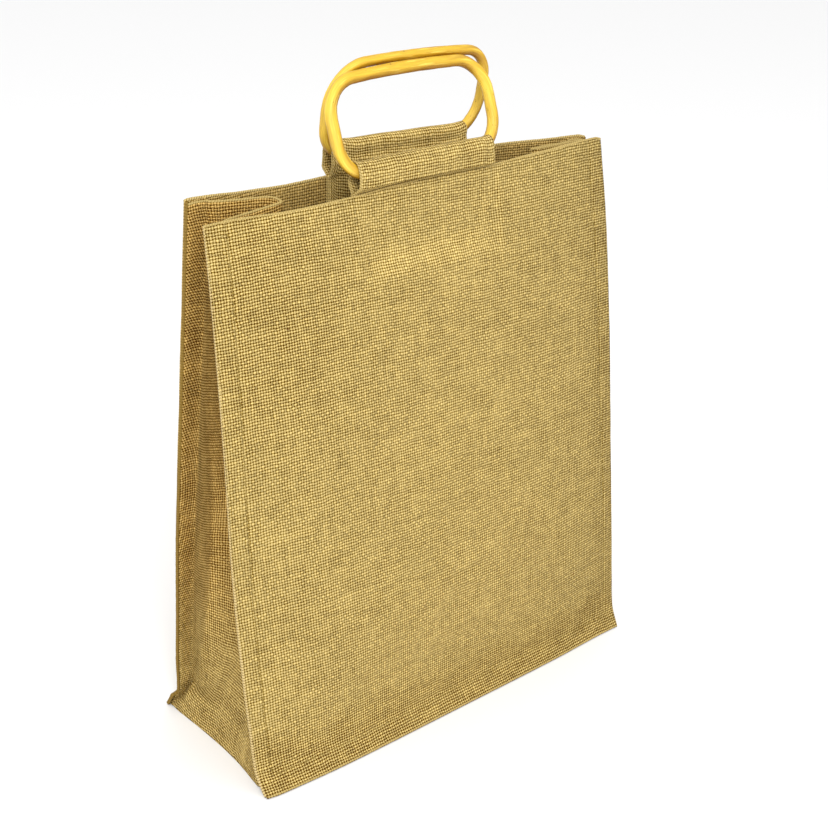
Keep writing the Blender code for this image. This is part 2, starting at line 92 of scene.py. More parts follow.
# Columns as above
BACK_ROWS = (
    (0.0007, -0.1704, 0.1755, 0.0668, 0.0668, 0.0669, 0.0670, 0.0670, 0.0668, 0.0665),
    (0.0060, -0.1704, 0.1758, 0.0635, 0.0638, 0.0644, 0.0645, 0.0645, 0.0641, 0.0638),
    (0.0160, -0.1705, 0.1762, 0.0588, 0.0589, 0.0591, 0.0592, 0.0592, 0.0588, 0.0584),
    (0.0450, -0.1722, 0.1765, 0.0562, 0.0564, 0.0575, 0.0580, 0.0578, 0.0560, 0.0552),
    (0.0800, -0.1727, 0.1766, 0.0536, 0.0540, 0.0558, 0.0566, 0.0562, 0.0530, 0.0520),
    (0.1600, -0.1740, 0.1768, 0.0480, 0.0485, 0.0508, 0.0522, 0.0514, 0.0458, 0.0442),
    (0.2400, -0.1738, 0.1768, 0.0416, 0.0422, 0.0454, 0.0474, 0.0462, 0.0384, 0.0364),
    (0.3200, -0.1734, 0.1766, 0.0352, 0.0362, 0.0410, 0.0434, 0.0418, 0.0312, 0.0287),
    (0.3600, -0.1731, 0.1762, 0.0322, 0.0335, 0.0400, 0.0424, 0.0402, 0.0278, 0.0250),
    (0.3920, -0.1728, 0.1752, 0.0300, 0.0320, 0.0400, 0.0430, 0.0400, 0.0262, 0.0230),
)
# Height of each panel's top edge. Columns: x and height
FRONT_TOP = (
    (-0.1745, 0.3900), (-0.1550, 0.3906), (-0.1100, 0.3892), (-0.0600, 0.3902), (-0.0300, 0.3920),
    (0.0200, 0.3936), (0.0600, 0.3934), (0.1000, 0.3952), (0.1690, 0.3972), (0.1749, 0.3957),
)
BACK_TOP = (
    (-0.1745, 0.3985), (-0.1700, 0.3996), (-0.1500, 0.3981), (-0.1250, 0.3950), (-0.0850, 0.3928),
    (0.0000, 0.3942), (0.1000, 0.3940), (0.1350, 0.3941), (0.1690, 0.3950), (0.1752, 0.3934),
)
FRONT = Panel(FRONT_ROWS, FRONT_TOP, 1)
BACK = Panel(BACK_ROWS, BACK_TOP, -1)
PANELS = {"front": FRONT, "back": BACK}
# The back panel's lower left corner stands out beyond the edge above it
EAR_OUT = 0.0048
EAR_HEIGHT = (0.0126, 0.0141)  # the heights over which it steps back to the edge
# The front panel is drawn in over the sewn-down legs of its handle sleeve
DENT_DEPTH = 0.0026
DENT_X = (-0.061, 0.070)
DENT_SIDE = 0.012  # width over which the dent fades at each side
DENT_Z = (0.331, 0.345)  # the slope at its lower end
DENT_TOP = (0.365, 0.392)  # the height over which it dies away again

# Each gusset folds into the bag between the panels. Columns: height, how sharp the fold is from 0, a soft
# curve, to 1, a pleat, then the x and y of the left fold and of the right fold
FOLDS = (
    (0.0160, 0.00, -0.1665, -0.0010, 0.1670, 0.0010),
    (0.0300, 0.00, -0.1640, -0.0010, 0.1650, 0.0010),
    (0.0500, 0.00, -0.1590, -0.0020, 0.1600, 0.0010),
    (0.0800, 0.05, -0.1500, -0.0030, 0.1520, 0.0020),
    (0.1200, 0.20, -0.1400, -0.0005, 0.1410, 0.0030),
    (0.1800, 0.45, -0.1290, 0.0050, 0.1300, 0.0070),
    (0.2600, 0.75, -0.1190, 0.0105, 0.1200, 0.0110),
    (0.3400, 0.92, -0.1125, 0.0155, 0.1140, 0.0140),
    (0.3920, 1.00, -0.1106, 0.0185, 0.1120, 0.0165),
)
# Across a gusset from the front seam (-1) to the back seam (1).
# Columns: place, then at the top of the pleat the shares of its depth and of its width
PLEAT = (
    (-1.00, 1.00, 0.00), (-0.95, 0.93, 0.01), (-0.86, 0.82, 0.02), (-0.66, 0.55, 0.04), (-0.44, 0.28, 0.10),
    (-0.24, 0.06, 0.18), (-0.10, 0.00, 0.30), (0.00, 0.00, 0.49), (0.10, 0.03, 0.72), (0.24, 0.11, 0.79),
    (0.44, 0.31, 0.78), (0.66, 0.57, 0.86), (0.86, 0.83, 0.95), (0.95, 0.93, 0.98), (1.00, 1.00, 1.00),
)
SOFTNESS = 1.3  # of the curve across a gusset where it isn't a pleat
LEAST_ROOM = 0.005  # from a fold to the panel next to it
# Two creases slant across each gusset near the floor, where it flares out to the base's edge.
# Columns: place, height of the lower crease and of the upper crease
LEFT_CREASES = (
    (-1.00, 0.0350, 0.070), (-0.81, 0.0270, 0.074), (-0.36, 0.0235, 0.074), (0.06, 0.0220, 0.055),
    (0.47, 0.0200, 0.036), (0.85, 0.0180, 0.024), (1.00, 0.0180, 0.025),
)
# Columns as above
RIGHT_CREASES = (
    (-1.00, 0.0260, 0.045), (0.00, 0.0220, 0.042), (1.00, 0.0180, 0.030),
)
CREASE_IN = 0.0045  # how far the lower crease lies inside the base's edge
# The gusset's foot stands out in a bow from seam to seam.
# Columns: place and how far the foot stands out from the middle of the side
BULGE = (
    (-1.00, 0.0000), (-0.95, 0.0030), (-0.86, 0.0040), (-0.66, 0.0029), (-0.30, 0.0006), (0.00, 0.0000),
    (0.44, 0.0007), (0.66, 0.0015), (0.86, 0.0024), (0.95, 0.0020), (1.00, 0.0000),
)
FOOT_X = 0.1704  # x of the foot in the middle of the side
LEFT = Gusset(0, LEFT_CREASES, 1.0)
RIGHT = Gusset(1, RIGHT_CREASES, 0.8)
# Rises up a gusset: 0 at the floor, 1 and 2 at its creases and 3 at the top.
# Columns: rise, then the height of the stitch line and of the flange's edge, where the rise is under 1
CORNER = (
    (0.00, 0.0085, 0.0028), (0.08, 0.0120, 0.0065), (0.30, 0.0155, 0.0135),
)
RISES = (0.65, 1.0, 1.5, 2.0, 2.07, 2.15, 2.26, 2.38, 2.5, 2.62, 2.74, 2.84, 2.93, 3.0)
STRIP_TOP = (0.0006, 0.0020)  # how far the strip ends below the front and the back panel's top edges
EAR_SEAM = (0.0030, 0.0004)  # height of the seam at the tip of the ear, and its distance from the edge
INSET = 0.0010  # from the edge of a panel to the strip's own edge

# Base
BASE_SEAM = 0.0115  # height of the stitch line under the panels
BASE_TIP = 0.0028  # height of the edge of the flange under the panels
BASE_DROP = 0.020  # width over which the base comes down from that seam to the floor
CORNER_DROP = 0.006  # the same at the bag's corners
BASE_X = (-0.148, -0.125, -0.100, -0.050, 0.0, 0.050, 0.100, 0.125, 0.148)
# The sections of the base next to each gusset.
# Columns: x of the cloth, of the stitch line and of the flange's edge
BASE_ENDS = ((0.1650, 0.1600, 0.1660), (0.1580, 0.1570, 0.1580))

# Handles: each ring lies in the plane that leans with it. half and rise are half its width and its height
# between the middles of the bars. The bow is how far the upper bar, the left side and the right side stand
# out from straight.
HANDLES = {
    "front": Handle(
        x=0.0003, y=0.0047, z=0.4046, lean=21.6, turn=0.99, half=0.0688, rise=0.0609, cane=0.0082,
        lower_left=0.0212, lower_right=0.0240, upper_right=0.0234, upper_left=0.0228,
        bow=(0.0029, -0.0003, -0.0006),
    ),
    "back": Handle(
        x=0.0111, y=0.0426, z=0.4062, lean=-7.3, turn=-0.31, half=0.0689, rise=0.0610, cane=0.0072,
        lower_left=0.0210, lower_right=0.0290, upper_right=0.0202, upper_left=0.0274,
        bow=(0.0030, 0.0005, -0.0007),
    ),
}
CANE_SIDES = 28
CANE_RINGS = 0.0015  # spacing of the rings of points along the cane
CANE_STEP = 0.0055  # spacing of the points along a bend

# Sleeves: a strip of cloth over each ring's lower bar, with both legs sewn inside the panel.
# Columns: x over the bar, x of the legs, and height of the loop's middle above the bar's
FRONT_STATIONS = (
    (-0.0588, -0.0588, 0.0046), (-0.0545, -0.0545, 0.0034), (-0.0490, -0.0490, 0.0034),
    (-0.0300, -0.0300, 0.0038), (-0.0100, -0.0100, 0.0038), (0.0100, 0.0100, 0.0038),
    (0.0300, 0.0300, 0.0036), (0.0470, 0.0470, 0.0031), (0.0540, 0.0580, 0.0029),
    (0.0593, 0.0640, 0.0038),
)
BACK_STATIONS = (
    (-0.0530, -0.0550, 0.0100), (-0.0470, -0.0490, 0.0067), (-0.0300, -0.0300, 0.0052),
    (-0.0100, -0.0100, 0.0052), (0.0100, 0.0100, 0.0046), (0.0300, 0.0300, 0.0044),
    (0.0470, 0.0470, 0.0038), (0.0580, 0.0580, 0.0036), (0.0668, 0.0668, 0.0042),
)
# How far the wall inside the bag hangs away from the cane, and how far below the bar the near wall turns in
# to the seam at the sleeve's left and right end
SLEEVES = {
    "front": Sleeve(FRONT, FRONT_STATIONS, 0.0024, (0.0062, 0.0090)),
    "back": Sleeve(BACK, BACK_STATIONS, 0.0014, (0.0075, 0.0085)),
}
LEG_HEIGHTS = (0.338, 0.345, 0.358, 0.375, TOP)
SNUG = 0.0004  # from the cane to the cloth round it
# Where each wall passes over the panel's top edge: how far in from the panel and how far above the edge
NEAR_NECK = (0.0007, 0.0014)
FAR_NECK = (0.0012, 0.0022)
FAR_DROP = 0.0045  # how far below the bar the far wall leaves the cane
OVER_BAR = (90, 112, 135, 157, 180, 203, 225, 248, 270)  # the directions of the points round the bar

# How the cloth's surface lies
DITCH_PLACES = np.array((-0.0011, -0.0005, 0.0, 0.0005, 0.0011, 0.0020))  # points across a ditch
DITCH_WIDTH = 0.0012
BASE_DITCH_WIDTH = 0.0014
DITCH_DEPTH = 0.0006
WAVES = 0.00035
RIDGES = (-0.0575, 0.0675)  # x of the low ridges that the sleeve's legs press into the front
LEG_LINES = (-0.0555, 0.0655)  # x of the painted highlight lines beside them
RIDGE_HEIGHT = 0.0005
RIDGE_WIDTH = 0.0024
STEP = 0.0005  # spacing of the points along the thread and near the floor
STITCH_RISE = np.array((-0.5, 0.35, 0.75, 0.75, 0.35, -0.5))  # along a stitch, for a thread of 1
FLANGE_FOOT = 0.0020  # height at which the flanges' frayed edges begin
FLANGE_IN = (0.0001, 0.0007)  # how far those edges lie inside the panel's edge, low down and high up
HAIRS = 110  # loose fibres on each panel
HAIR = 0.00007  # radius of a loose fibre
END_LENGTH = 0.6  # of a yarn's pointed end, for a radius of 1
FAMILY = 0.15  # how much lighter the crossing yarns are than the upright ones
SHADED = (0.99, 0.87, 0.74, 1.0)  # painted shade: the brown tint of cloth in shade, which takes on the brown of the cloth round it
# How open and how light each cloth's weave is on average, the size, strength and seed of its soft patches,
# and the strength and seed of its streaks
PANEL_OPEN = Uneven(0.56, 0.022, 0.06, 21.0, 0.18, 27.0)
PANEL_LIGHT = Uneven(0.5, 0.06, 0.05, 33.0, 0.13, 39.0)
STRIP_OPEN = Uneven(0.85, 0.02, 0.2, 41.0, 0.35, 47.0)
STRIP_LIGHT = Uneven(0.68, 0.05, 0.15, 53.0, 0.25, 57.0)
SLEEVE_OPEN = Uneven(0.66, 0.015, 0.2, 61.0, 0.3, 63.0)
SLEEVE_LIGHT = {
    "front": Uneven(0.66, 0.04, 0.15, 67.0, 0.2, 69.0),
    # The back sleeve is painted lighter, to make up for the shade it stands in
    "back": Uneven(1.0, 0.04, 0.15, 67.0, 0.2, 69.0),
}
# Bits of bark in the front's weave: x, height, length, turn and radius
FLECKS = (
    (0.1206, 0.2788, 0.0020, 0.3, 0.0004),
    (0.1267, 0.0639, 0.0022, 1.2, 0.0004),
    (0.1449, 0.0259, 0.0026, 0.1, 0.0004),
    (0.1364, 0.0264, 0.0018, 0.5, 0.0003),
    (-0.1229, 0.3181, 0.0022, 0.0, 0.0004),
    (-0.0849, 0.0367, 0.0018, 0.8, 0.0003),
)
LAID = "laid_flat"  # where each corner lies on the flat cloth, or along and round a yarn
STATE = "weave_state"  # cloth: how open it is, how light it is (its own tone, with painted highlight and painted shade), and how much painted shade it takes. Cane: painted highlight on the side towards the light, and painted shade underneath

# Camera and lights
CAMERA_PLACE = (-0.638399, -0.722214, 0.677327)
CAMERA_AHEAD = (0.5967, 0.6776, -0.4299)
CAMERA_RIGHT = (0.7505, -0.6609, 0.0)
CAMERA_ROLL = 2.84  # degrees
LENS = 64.0909  # millimetres, on a sensor 36 mm wide
FLOOR = 12.0  # half the width of the studio floor
# Columns: name, place, width and power
LAMPS = (
    ("Key light", (-1.2, -1.5, 1.9), 1.0, 40.0),
    ("Fill light", (1.6, -1.6, 0.9), 1.6, 5.0),
)


def smooth(knots, values, at):
    """The values at some points of a curve through the knots that never swings past them."""
    knots, values = np.asarray(knots, float), np.asarray(values, float)
    at = np.clip(at, knots[0], knots[-1])
    more = (1,) * (values.ndim - 1)
    steps = np.diff(knots).reshape(-1, *more)
    slopes = np.diff(values, axis=0) / steps
    product, total = slopes[:-1] * slopes[1:], slopes[:-1] + slopes[1:]
    middle = np.where(product > 0, 2 * product / np.where(np.abs(total) < 1e-12, 1.0, total), 0.0)
    tangents = np.concatenate([slopes[:1], middle, slopes[-1:]])
    i = np.minimum(np.searchsorted(knots, at, side="right") - 1, len(steps) - 1)
    t = (at - knots[i]) / np.diff(knots)[i]
    t = np.reshape(t, np.shape(t) + more)
    ends = (2 * t**3 - 3 * t**2 + 1) * values[i] + (3 * t**2 - 2 * t**3) * values[i + 1]
    slant = (t**3 - 2 * t**2 + t) * tangents[i] + (t**3 - t**2) * tangents[i + 1]
    return ends + steps[i] * slant


def ease(low, high, at):
    """0 below low, 1 above high and a smooth rise between them."""
    t = np.clip((np.asarray(at, float) - low) / (high - low), 0.0, 1.0)
    return t * t * (3 - 2 * t)


def mix(low, high, share):
    return low + (high - low) * share


def column(rows, number, at):
    """One column's value, by the table's first column."""
    return smooth([row[0] for row in rows], [row[number] for row in rows], at)


def edge_x(panel, side, height):
    """x of a panel's left (side 0) or right (side 1) edge at a height."""
    x = column(panel.rows, 1 + side, height)
    if panel is BACK and side == 0:
        x = x - EAR_OUT * (1 - ease(*EAR_HEIGHT, height))
    return x


def seam_x(panel, side, height):
    inward = (1, -1)[side]
    return column(panel.rows, 1 + side, height) + inward * mix(*SEAM, height / TOP)


def dent(x, height):
    across = ease(DENT_X[0], DENT_X[0] + DENT_SIDE, x) - ease(DENT_X[1] - DENT_SIDE, DENT_X[1], x)
    up = ease(*DENT_Z, height) - ease(*DENT_TOP, height)
    return DENT_DEPTH * across * up


def panel_y(panel, x, height):
    """y of the middle of a panel's cloth, for one x or a row of them, by the table's own heights."""
    left, right = (column(panel.rows, number, height) for number in (1, 2))
    seams = [seam_x(panel, side, height) for side in (0, 1)]
    places = (left, seams[0], BENDS[0], 0.0, BENDS[1], seams[1], right)
    depths = [column(panel.rows, number, height) for number in range(3, 10)]
    y = smooth(places, depths, x)
    return y + dent(x, height) if panel is FRONT else y


def real_height(panel, x, height):
    """The real height for one of the tables', as the panel's top edge isn't level."""
    return height + (column(panel.tops, 1, x) - TOP) * (height / TOP) ** 2


def on_panel(panel, x, height):
    return np.array((x, panel_y(panel, x, height), real_height(panel, x, height)))


def out_of(panel, x, height):
    """The direction in which a panel faces at a place."""
    step = 0.001
    low, high = max(height - step, REST), min(height + step, TOP)
    across = on_panel(panel, x + step, height) - on_panel(panel, x - step, height)
    up = on_panel(panel, x, high) - on_panel(panel, x, low)
    normal = np.cross(across, up) * panel.inward
    return normal / np.linalg.norm(normal)


def behind(panel, x, height, layers=1):
    """The point this many layers of cloth inside a panel."""
    return on_panel(panel, x, height) - out_of(panel, x, height) * LAYER * layers


def refine(grid, axis, spacing=SPACING):
    """The grid with more points along one axis, on curves that never swing past its own points."""
    grid = np.moveaxis(np.asarray(grid, float), axis, 0)
    steps = np.linalg.norm(np.diff(grid, axis=0), axis=-1).mean(axis=1)
    knots = np.concatenate([[0.0], np.cumsum(steps)])
    at = []
    for start, step in zip(knots, steps):
        count = max(1, math.ceil(step / spacing))
        at += [start + step * k / count for k in range(count)]
    return np.moveaxis(smooth(knots, grid, at + [knots[-1]]), 0, axis)


def run_length(grid, axis, start):
    """How far each point lies along the cloth from the row or column numbered start."""
    steps = np.linalg.norm(np.diff(grid, axis=axis), axis=-1)
    zero = np.zeros_like(np.take(steps, [0], axis=axis))
    length = np.concatenate([zero, np.cumsum(steps, axis=axis)], axis=axis)
    return length - np.take(length, [start], axis=axis)


def gusset_flange(panel, stitch, tip):
    """Three points from the strip's edge to the stitch line, each given by x and height on the panel."""
    middle = [mix(a, b, 0.5) for a, b in zip(stitch, tip)]
    return [behind(panel, *spot) for spot in (tip, middle, stitch)]


def web_x(gusset, place, height, seam):
    """x of the gusset's folded part at a height, for the x of the seam on that side."""
    pleat, fold = column(FOLDS, 1, height), column(FOLDS, 2 + 2 * gusset.side, height)
    soft = (math.hypot(place, SOFTNESS) - SOFTNESS) / (math.hypot(1.0, SOFTNESS) - SOFTNESS)
    return mix(fold, seam, mix(soft, column(PLEAT, 1, place), pleat))


def web_y(gusset, place, height, front, back):
    pleat, fold = column(FOLDS, 1, height), column(FOLDS, 3 + 2 * gusset.side, height)
    fold = min(max(fold, front + LEAST_ROOM), back - LEAST_ROOM)
    soft = mix(front, back, (place + 1) / 2) + (fold - (front + back) / 2) * (1 - place**2)
    return mix(soft, mix(front, back, column(PLEAT, 2, place)), pleat)


def seam_height(gusset, place, rise):
    """Table height at which a section meets a panel's seam."""
    lower, upper = (column(gusset.creases, number, place) for number in (1, 2))
    if rise <= 1:
        return mix(CORNER[-1][1], lower, (rise - CORNER[-1][0]) / (1 - CORNER[-1][0]))
    if rise <= 2:
        return mix(lower, upper, rise - 1)
    return mix(upper, TOP - STRIP_TOP[place > 0], rise - 2)


def gusset_section(gusset, rise):
    """One line of points across a gusset, from flange tip to flange tip."""
    side = gusset.side
    sign = (-1, 1)[side]
    flanges, roots = [], []
    for panel, place in ((FRONT, -1), (BACK, 1)):
        if rise < 0.5:
            stitch_z, tip_z = (column(CORNER, number, rise) for number in (1, 2))
        else:
            stitch_z = tip_z = seam_height(gusset, place, rise)
        stitch_x = seam_x(panel, side, stitch_z)
        if panel is BACK and side == 0:
            # The seam runs out to the tip of the ear that stands out at this corner
            out = 1 - ease(0.0, 1.0, rise)
            stitch_z = mix(stitch_z, EAR_SEAM[0], out)
            stitch_x = mix(stitch_x, edge_x(panel, side, stitch_z) + EAR_SEAM[1], out)
        tip_x = edge_x(panel, side, tip_z) - sign * INSET
        flanges.append(gusset_flange(panel, (stitch_x, stitch_z), (tip_x, tip_z)))
        x, y, z = flanges[-1][-1]
        roots.append((x - sign * BEND * 0.7, y + panel.inward * BEND, z))
    (front_x, front_y, front_z), (back_x, back_y, back_z) = roots
    web = []
    for place, *_ in PLEAT:
        seam = mix(front_x, back_x, (place + 1) / 2)
        lower, upper = (column(gusset.creases, number, place) for number in (1, 2))
        top = mix(front_z, back_z, (place + 1) / 2)
        foot = sign * (FOOT_X + gusset.bulge * column(BULGE, 1, place))
        crease_x = foot - sign * CREASE_IN
        if rise <= 1:
            z, x = mix(REST, lower, rise), mix(foot, crease_x, rise)
        elif rise <= 2:
            z = mix(lower, upper, rise - 1)
            x = mix(crease_x, web_x(gusset, place, upper, seam), rise - 1)
        else:
            z = mix(upper, top, rise - 2)
            x = web_x(gusset, place, z, seam)
        y = web_y(gusset, place, max(z, upper), front_y, back_y)
        near = 1 - ease(0.0, CORNER_DROP, min(y - front_y, back_y - y))
        root_x, _, root_z = roots[place >= 0]
        web.append((mix(x, root_x, near), y, mix(z, root_z, near)))
    return flanges[0] + web + flanges[1][::-1]


def base_section(x, stitch_x, tip_x):
    """One line of points across the base, flange tip to flange tip."""
    spots = (stitch_x, BASE_SEAM), (tip_x, BASE_TIP)
    flanges = [gusset_flange(panel, *spots) for panel in (FRONT, BACK)]
    start = flanges[0][-1][1] + BEND
    end = flanges[1][-1][1] - BEND
    web = []
    for place, *_ in PLEAT:
        y = mix(start, end, (place + 1) / 2)
        near = 1 - ease(0.0, BASE_DROP, min(y - start, end - y))
        root = flanges[place > 0][-1][2]
        web.append((mix(x, stitch_x, near), y, mix(REST, root - BEND * 0.5, near)))
    return flanges[0] + web + flanges[1][::-1]


def strip_grid():
    """The strip's points, from the left gusset's top, across the base, to the right gusset's top."""
    rises = [row[0] for row in CORNER] + list(RISES)
    ends = [base_section(-x, -stitch, -tip) for x, stitch, tip in BASE_ENDS]
    grid = [gusset_section(LEFT, rise) for rise in rises[::-1]]
    grid += ends + [base_section(x, x, x) for x in BASE_X]
    grid += [base_section(*spot) for spot in BASE_ENDS[::-1]]
    grid += [gusset_section(RIGHT, rise) for rise in rises]
    return np.array(grid)


def lean_axes(degrees):
    """(y, z) of the ring's own up and front directions."""
    angle = math.radians(degrees)
    return (math.sin(angle), math.cos(angle)), (-math.cos(angle), math.sin(angle))


def bar_centre(handle, x):
    """(y, z) of the middle of a ring's lower bar at a place along it."""
    up, _ = lean_axes(handle.lean)
    high = (x - handle.x) * math.tan(math.radians(handle.turn))
    return handle.y + high * up[0], handle.z + high * up[1]


def sleeve_section(place, x, leg_x, rise, share):
    """One line of points round a sleeve: up the leg next to the panel, over the bar and down again."""
    handle, sleeve = HANDLES[place], SLEEVES[place]
    panel, inward = sleeve.panel, sleeve.panel.inward
    bar = bar_y, bar_z = bar_centre(handle, x)
    up, ahead = lean_axes(handle.lean)
    radius = handle.cane / 2 + SNUG + REST
    outside = [behind(panel, leg_x, height) for height in LEG_HEIGHTS]
    inside = [behind(panel, leg_x, height, 2) for height in LEG_HEIGHTS]
    rim = on_panel(panel, leg_x, TOP)

    def loop(angle, centre):
        turn = math.radians(angle)
        forward = inward * radius * math.sin(turn)
        high = centre - radius * math.cos(turn)
        return x, *(bar[k] + high * up[k] + forward * ahead[k] for k in (0, 1))

    level = handle.lean * inward
    over = [loop(90 - level, 0.0)]
    over += [loop(angle, rise) for angle in OVER_BAR]
    over += [loop(270 - level, 0.0)]
    drop = mix(*sleeve.drop, share)
    near = [
        (mix(leg_x, x, 0.4), rim[1] + inward * NEAR_NECK[0], rim[2] + NEAR_NECK[1]),
        (mix(leg_x, x, 0.8), bar_y - inward * radius, bar_z - drop),
    ]
    far = [
        (mix(leg_x, x, 0.8), bar_y + inward * (radius + sleeve.far), bar_z - FAR_DROP),
        (mix(leg_x, x, 0.3), inside[-1][1] + inward * FAR_NECK[0], rim[2] + FAR_NECK[1]),
    ]
    return outside + near + over + far + inside[::-1]


def sleeve_grid(place):
    stations = SLEEVES[place].stations
    grid = []
    for x, leg_x, rise in stations:
        share = (x - stations[0][0]) / (stations[-1][0] - stations[0][0])
        grid.append(sleeve_section(place, x, leg_x, rise, share))
    return np.array(grid, float)


def ring_outline(handle):
    """(x, z) round the middle of the cane, from the lower bar's middle to the right."""
    half, rise = handle.half, handle.rise
    corners = (
        (1, 0, handle.lower_right, -90),
        (1, 1, handle.upper_right, 0),
        (-1, 1, handle.upper_left, 90),
        (-1, 0, handle.lower_left, 180),
    )
    points = []
    for side, high, radius, start in corners:
        x = side * (half - radius)
        z = rise - radius if high else radius
        steps = max(8, round(radius * math.pi / 2 / CANE_STEP))
        for i in range(steps + 1):
            angle = math.radians(start + 90 * i / steps)
            points.append((x + radius * math.cos(angle), z + radius * math.sin(angle)))
    filled = []
    for (x, z), (next_x, next_z) in zip(points, points[1:] + points[:1]):
        count = max(1, round(math.hypot(next_x - x, next_z - z) / CANE_STEP))
        filled += [(mix(x, next_x, i / count), mix(z, next_z, i / count)) for i in range(count)]
    top, left, right = handle.bow
    bowed = []
    for x, z in filled:
        side = right if x > 0 else -left
        lift = top * (1 - (x / half) ** 2) * z / rise
        bowed.append((x + side * (1 - (2 * z / rise - 1) ** 2) * abs(x / half), z + lift))
    return bowed


def ring_path(place):
    """The middle of the cane, all the way round."""
    handle = HANDLES[place]
    up, _ = lean_axes(handle.lean)
    turn = math.radians(handle.turn)
    path = []
    for across, high in ring_outline(handle):
        side = across * math.cos(turn) - high * math.sin(turn)
        high = across * math.sin(turn) + high * math.cos(turn)
        path.append((handle.x + side, handle.y + high * up[0], handle.z + high * up[1]))
    return np.array(path)


def stand(name, data):
    made = bpy.data.objects.new(name, data)
    bpy.context.scene.collection.objects.link(made)
    return made


def mesh_piece(name, points, faces, places, finish, slot, states=None):
    """A piece from its points and faces. places holds each corner's place along the cloth or the yarn."""
    mesh = bpy.data.meshes.new(name)
    mesh.from_pydata(np.asarray(points, float).tolist(), [], faces)
    mesh.uv_layers.new(name=LAID).data.foreach_set("uv", np.asarray(places, np.float32).ravel())
    if states is not None:
        state = mesh.attributes.new(STATE, "FLOAT_COLOR", "POINT")
        state.data.foreach_set("color", np.asarray(states, np.float32).ravel())
    mesh.materials.append(bpy.data.materials[finish])
    mesh.shade_smooth()
    piece = stand(name, mesh)
    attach(piece, "root")
    return piece


def cloth_piece(name, grid, spread, states, finish, slot):
    """A cloth with its real thickness, from the grid of points in the middle of it."""
    rows, columns = grid.shape[:2]
    first = (np.arange(rows - 1)[:, None] * columns + np.arange(columns - 1)).ravel()
    faces = np.stack([first, first + 1, first + columns + 1, first + columns], axis=1)
    places = spread.reshape(-1, 2)[faces.ravel()]
    piece = mesh_piece(name, grid.reshape(-1, 3), faces.tolist(), places, finish, slot, states)
    thick = piece.modifiers.new("Thickness", "SOLIDIFY")
    thick.thickness = sizes().cloth
    thick.offset = 0.0
    return piece


def tube(path, widths, sides, closed=False, flat=1.0, face=(0.0, 0.0, 1.0)):
    """Points, faces and corner places of a yarn or a cane along a path. widths holds the radius at each
    point, or at each point and side. flat squeezes it in the direction of face."""
    path = np.asarray(path, float)
    count = len(path)
    on = np.roll(path, -1, axis=0)
    ahead = on - np.roll(path, 1, axis=0) if closed else np.gradient(path, axis=0)
    ahead /= np.linalg.norm(ahead, axis=1)[:, None]
    out = np.broadcast_to(np.asarray(face, float), path.shape)
    out = out - ahead * (out * ahead).sum(axis=1)[:, None]
    out /= np.linalg.norm(out, axis=1)[:, None]
    aside = np.cross(ahead, out)
    turns = (2 * math.pi * np.arange(sides) / sides)[None, :, None]
    widths = np.asarray(widths, float)
    widths = np.broadcast_to(widths if widths.ndim == 2 else widths[:, None], (count, sides))[..., None]
    ring = flat * np.cos(turns) * out[:, None] + np.sin(turns) * aside[:, None]
    points = list((path[:, None] + widths * ring).reshape(-1, 3))
    reach = np.concatenate([[0.0], np.cumsum(np.linalg.norm(on - path, axis=1))])
    faces, places = [], []
    for i in range(count if closed else count - 1):
        here, there = i * sides, (i + 1) % count * sides
        for k in range(sides):
            beside = (k + 1) % sides
            faces.append((here + k, here + beside, there + beside, there + k))
            corners = (i, k), (i, k + 1), (i + 1, k + 1), (i + 1, k)
            places += [(reach[j], turn / sides) for j, turn in corners]
    if not closed:
        for end, row, way in ((0, 0, -1), (count - 1, (count - 1) * sides, 1)):
            points.append(path[end] + way * ahead[end] * widths[end].mean() * END_LENGTH)
            for k in range(sides):
                pair = (row + k, row + (k + 1) % sides)
                faces.append((*(pair if way > 0 else pair[::-1]), len(points) - 1))
                places += [(reach[end], k / sides)] * 3
    return points, faces, places


class Bundle:
    """Many small tubes that become one piece."""

    def __init__(self):
        self.points, self.faces, self.places = [], [], []

    def add(self, path, widths, sides=6, **how):
        points, faces, places = tube(path, widths, sides, **how)
        first = len(self.points)
        self.points += points
        self.faces += [tuple(corner + first for corner in face) for face in faces]
        self.places += places

    def piece(self, name, finish, slot):
        return mesh_piece(name, self.points, self.faces, self.places, finish, slot)


def ripple(x, y, size, seed):
    """A gentle random wave from -1 to 1 over a cloth."""
    return noise.noise(Vector((x / size, y / size, seed)))


def ripples(*places):
    return np.array([noise.noise(Vector(place)) for place in places])


def bell(off, width):
    """1 in the middle of a line, and less with the distance from it."""
    return np.exp(-((off / width) ** 2))


def panel_places(panel):
    """The rows of heights and the columns of x that a panel is made on."""
    heights = np.concatenate([np.arange(REST, 0.024, 0.0016), np.linspace(0.024, TOP, 124)])
    rows = []
    for height in heights:
        ends = []
        for side, inward in ((0, 1), (1, -1)):
            edge, seam = edge_x(panel, side, height), seam_x(panel, side, height)
            outer = edge + (seam - edge) * np.array((0, 0.2, 0.4, 0.6, 0.76, 0.86))
            ends.append(np.concatenate([outer, seam + inward * DITCH_PLACES]))
        middle = np.linspace(ends[0][-1], ends[1][-1], 112)[1:-1]
        rows.append(np.concatenate([ends[0], middle, ends[1][::-1]]))
    return heights, np.array(rows)


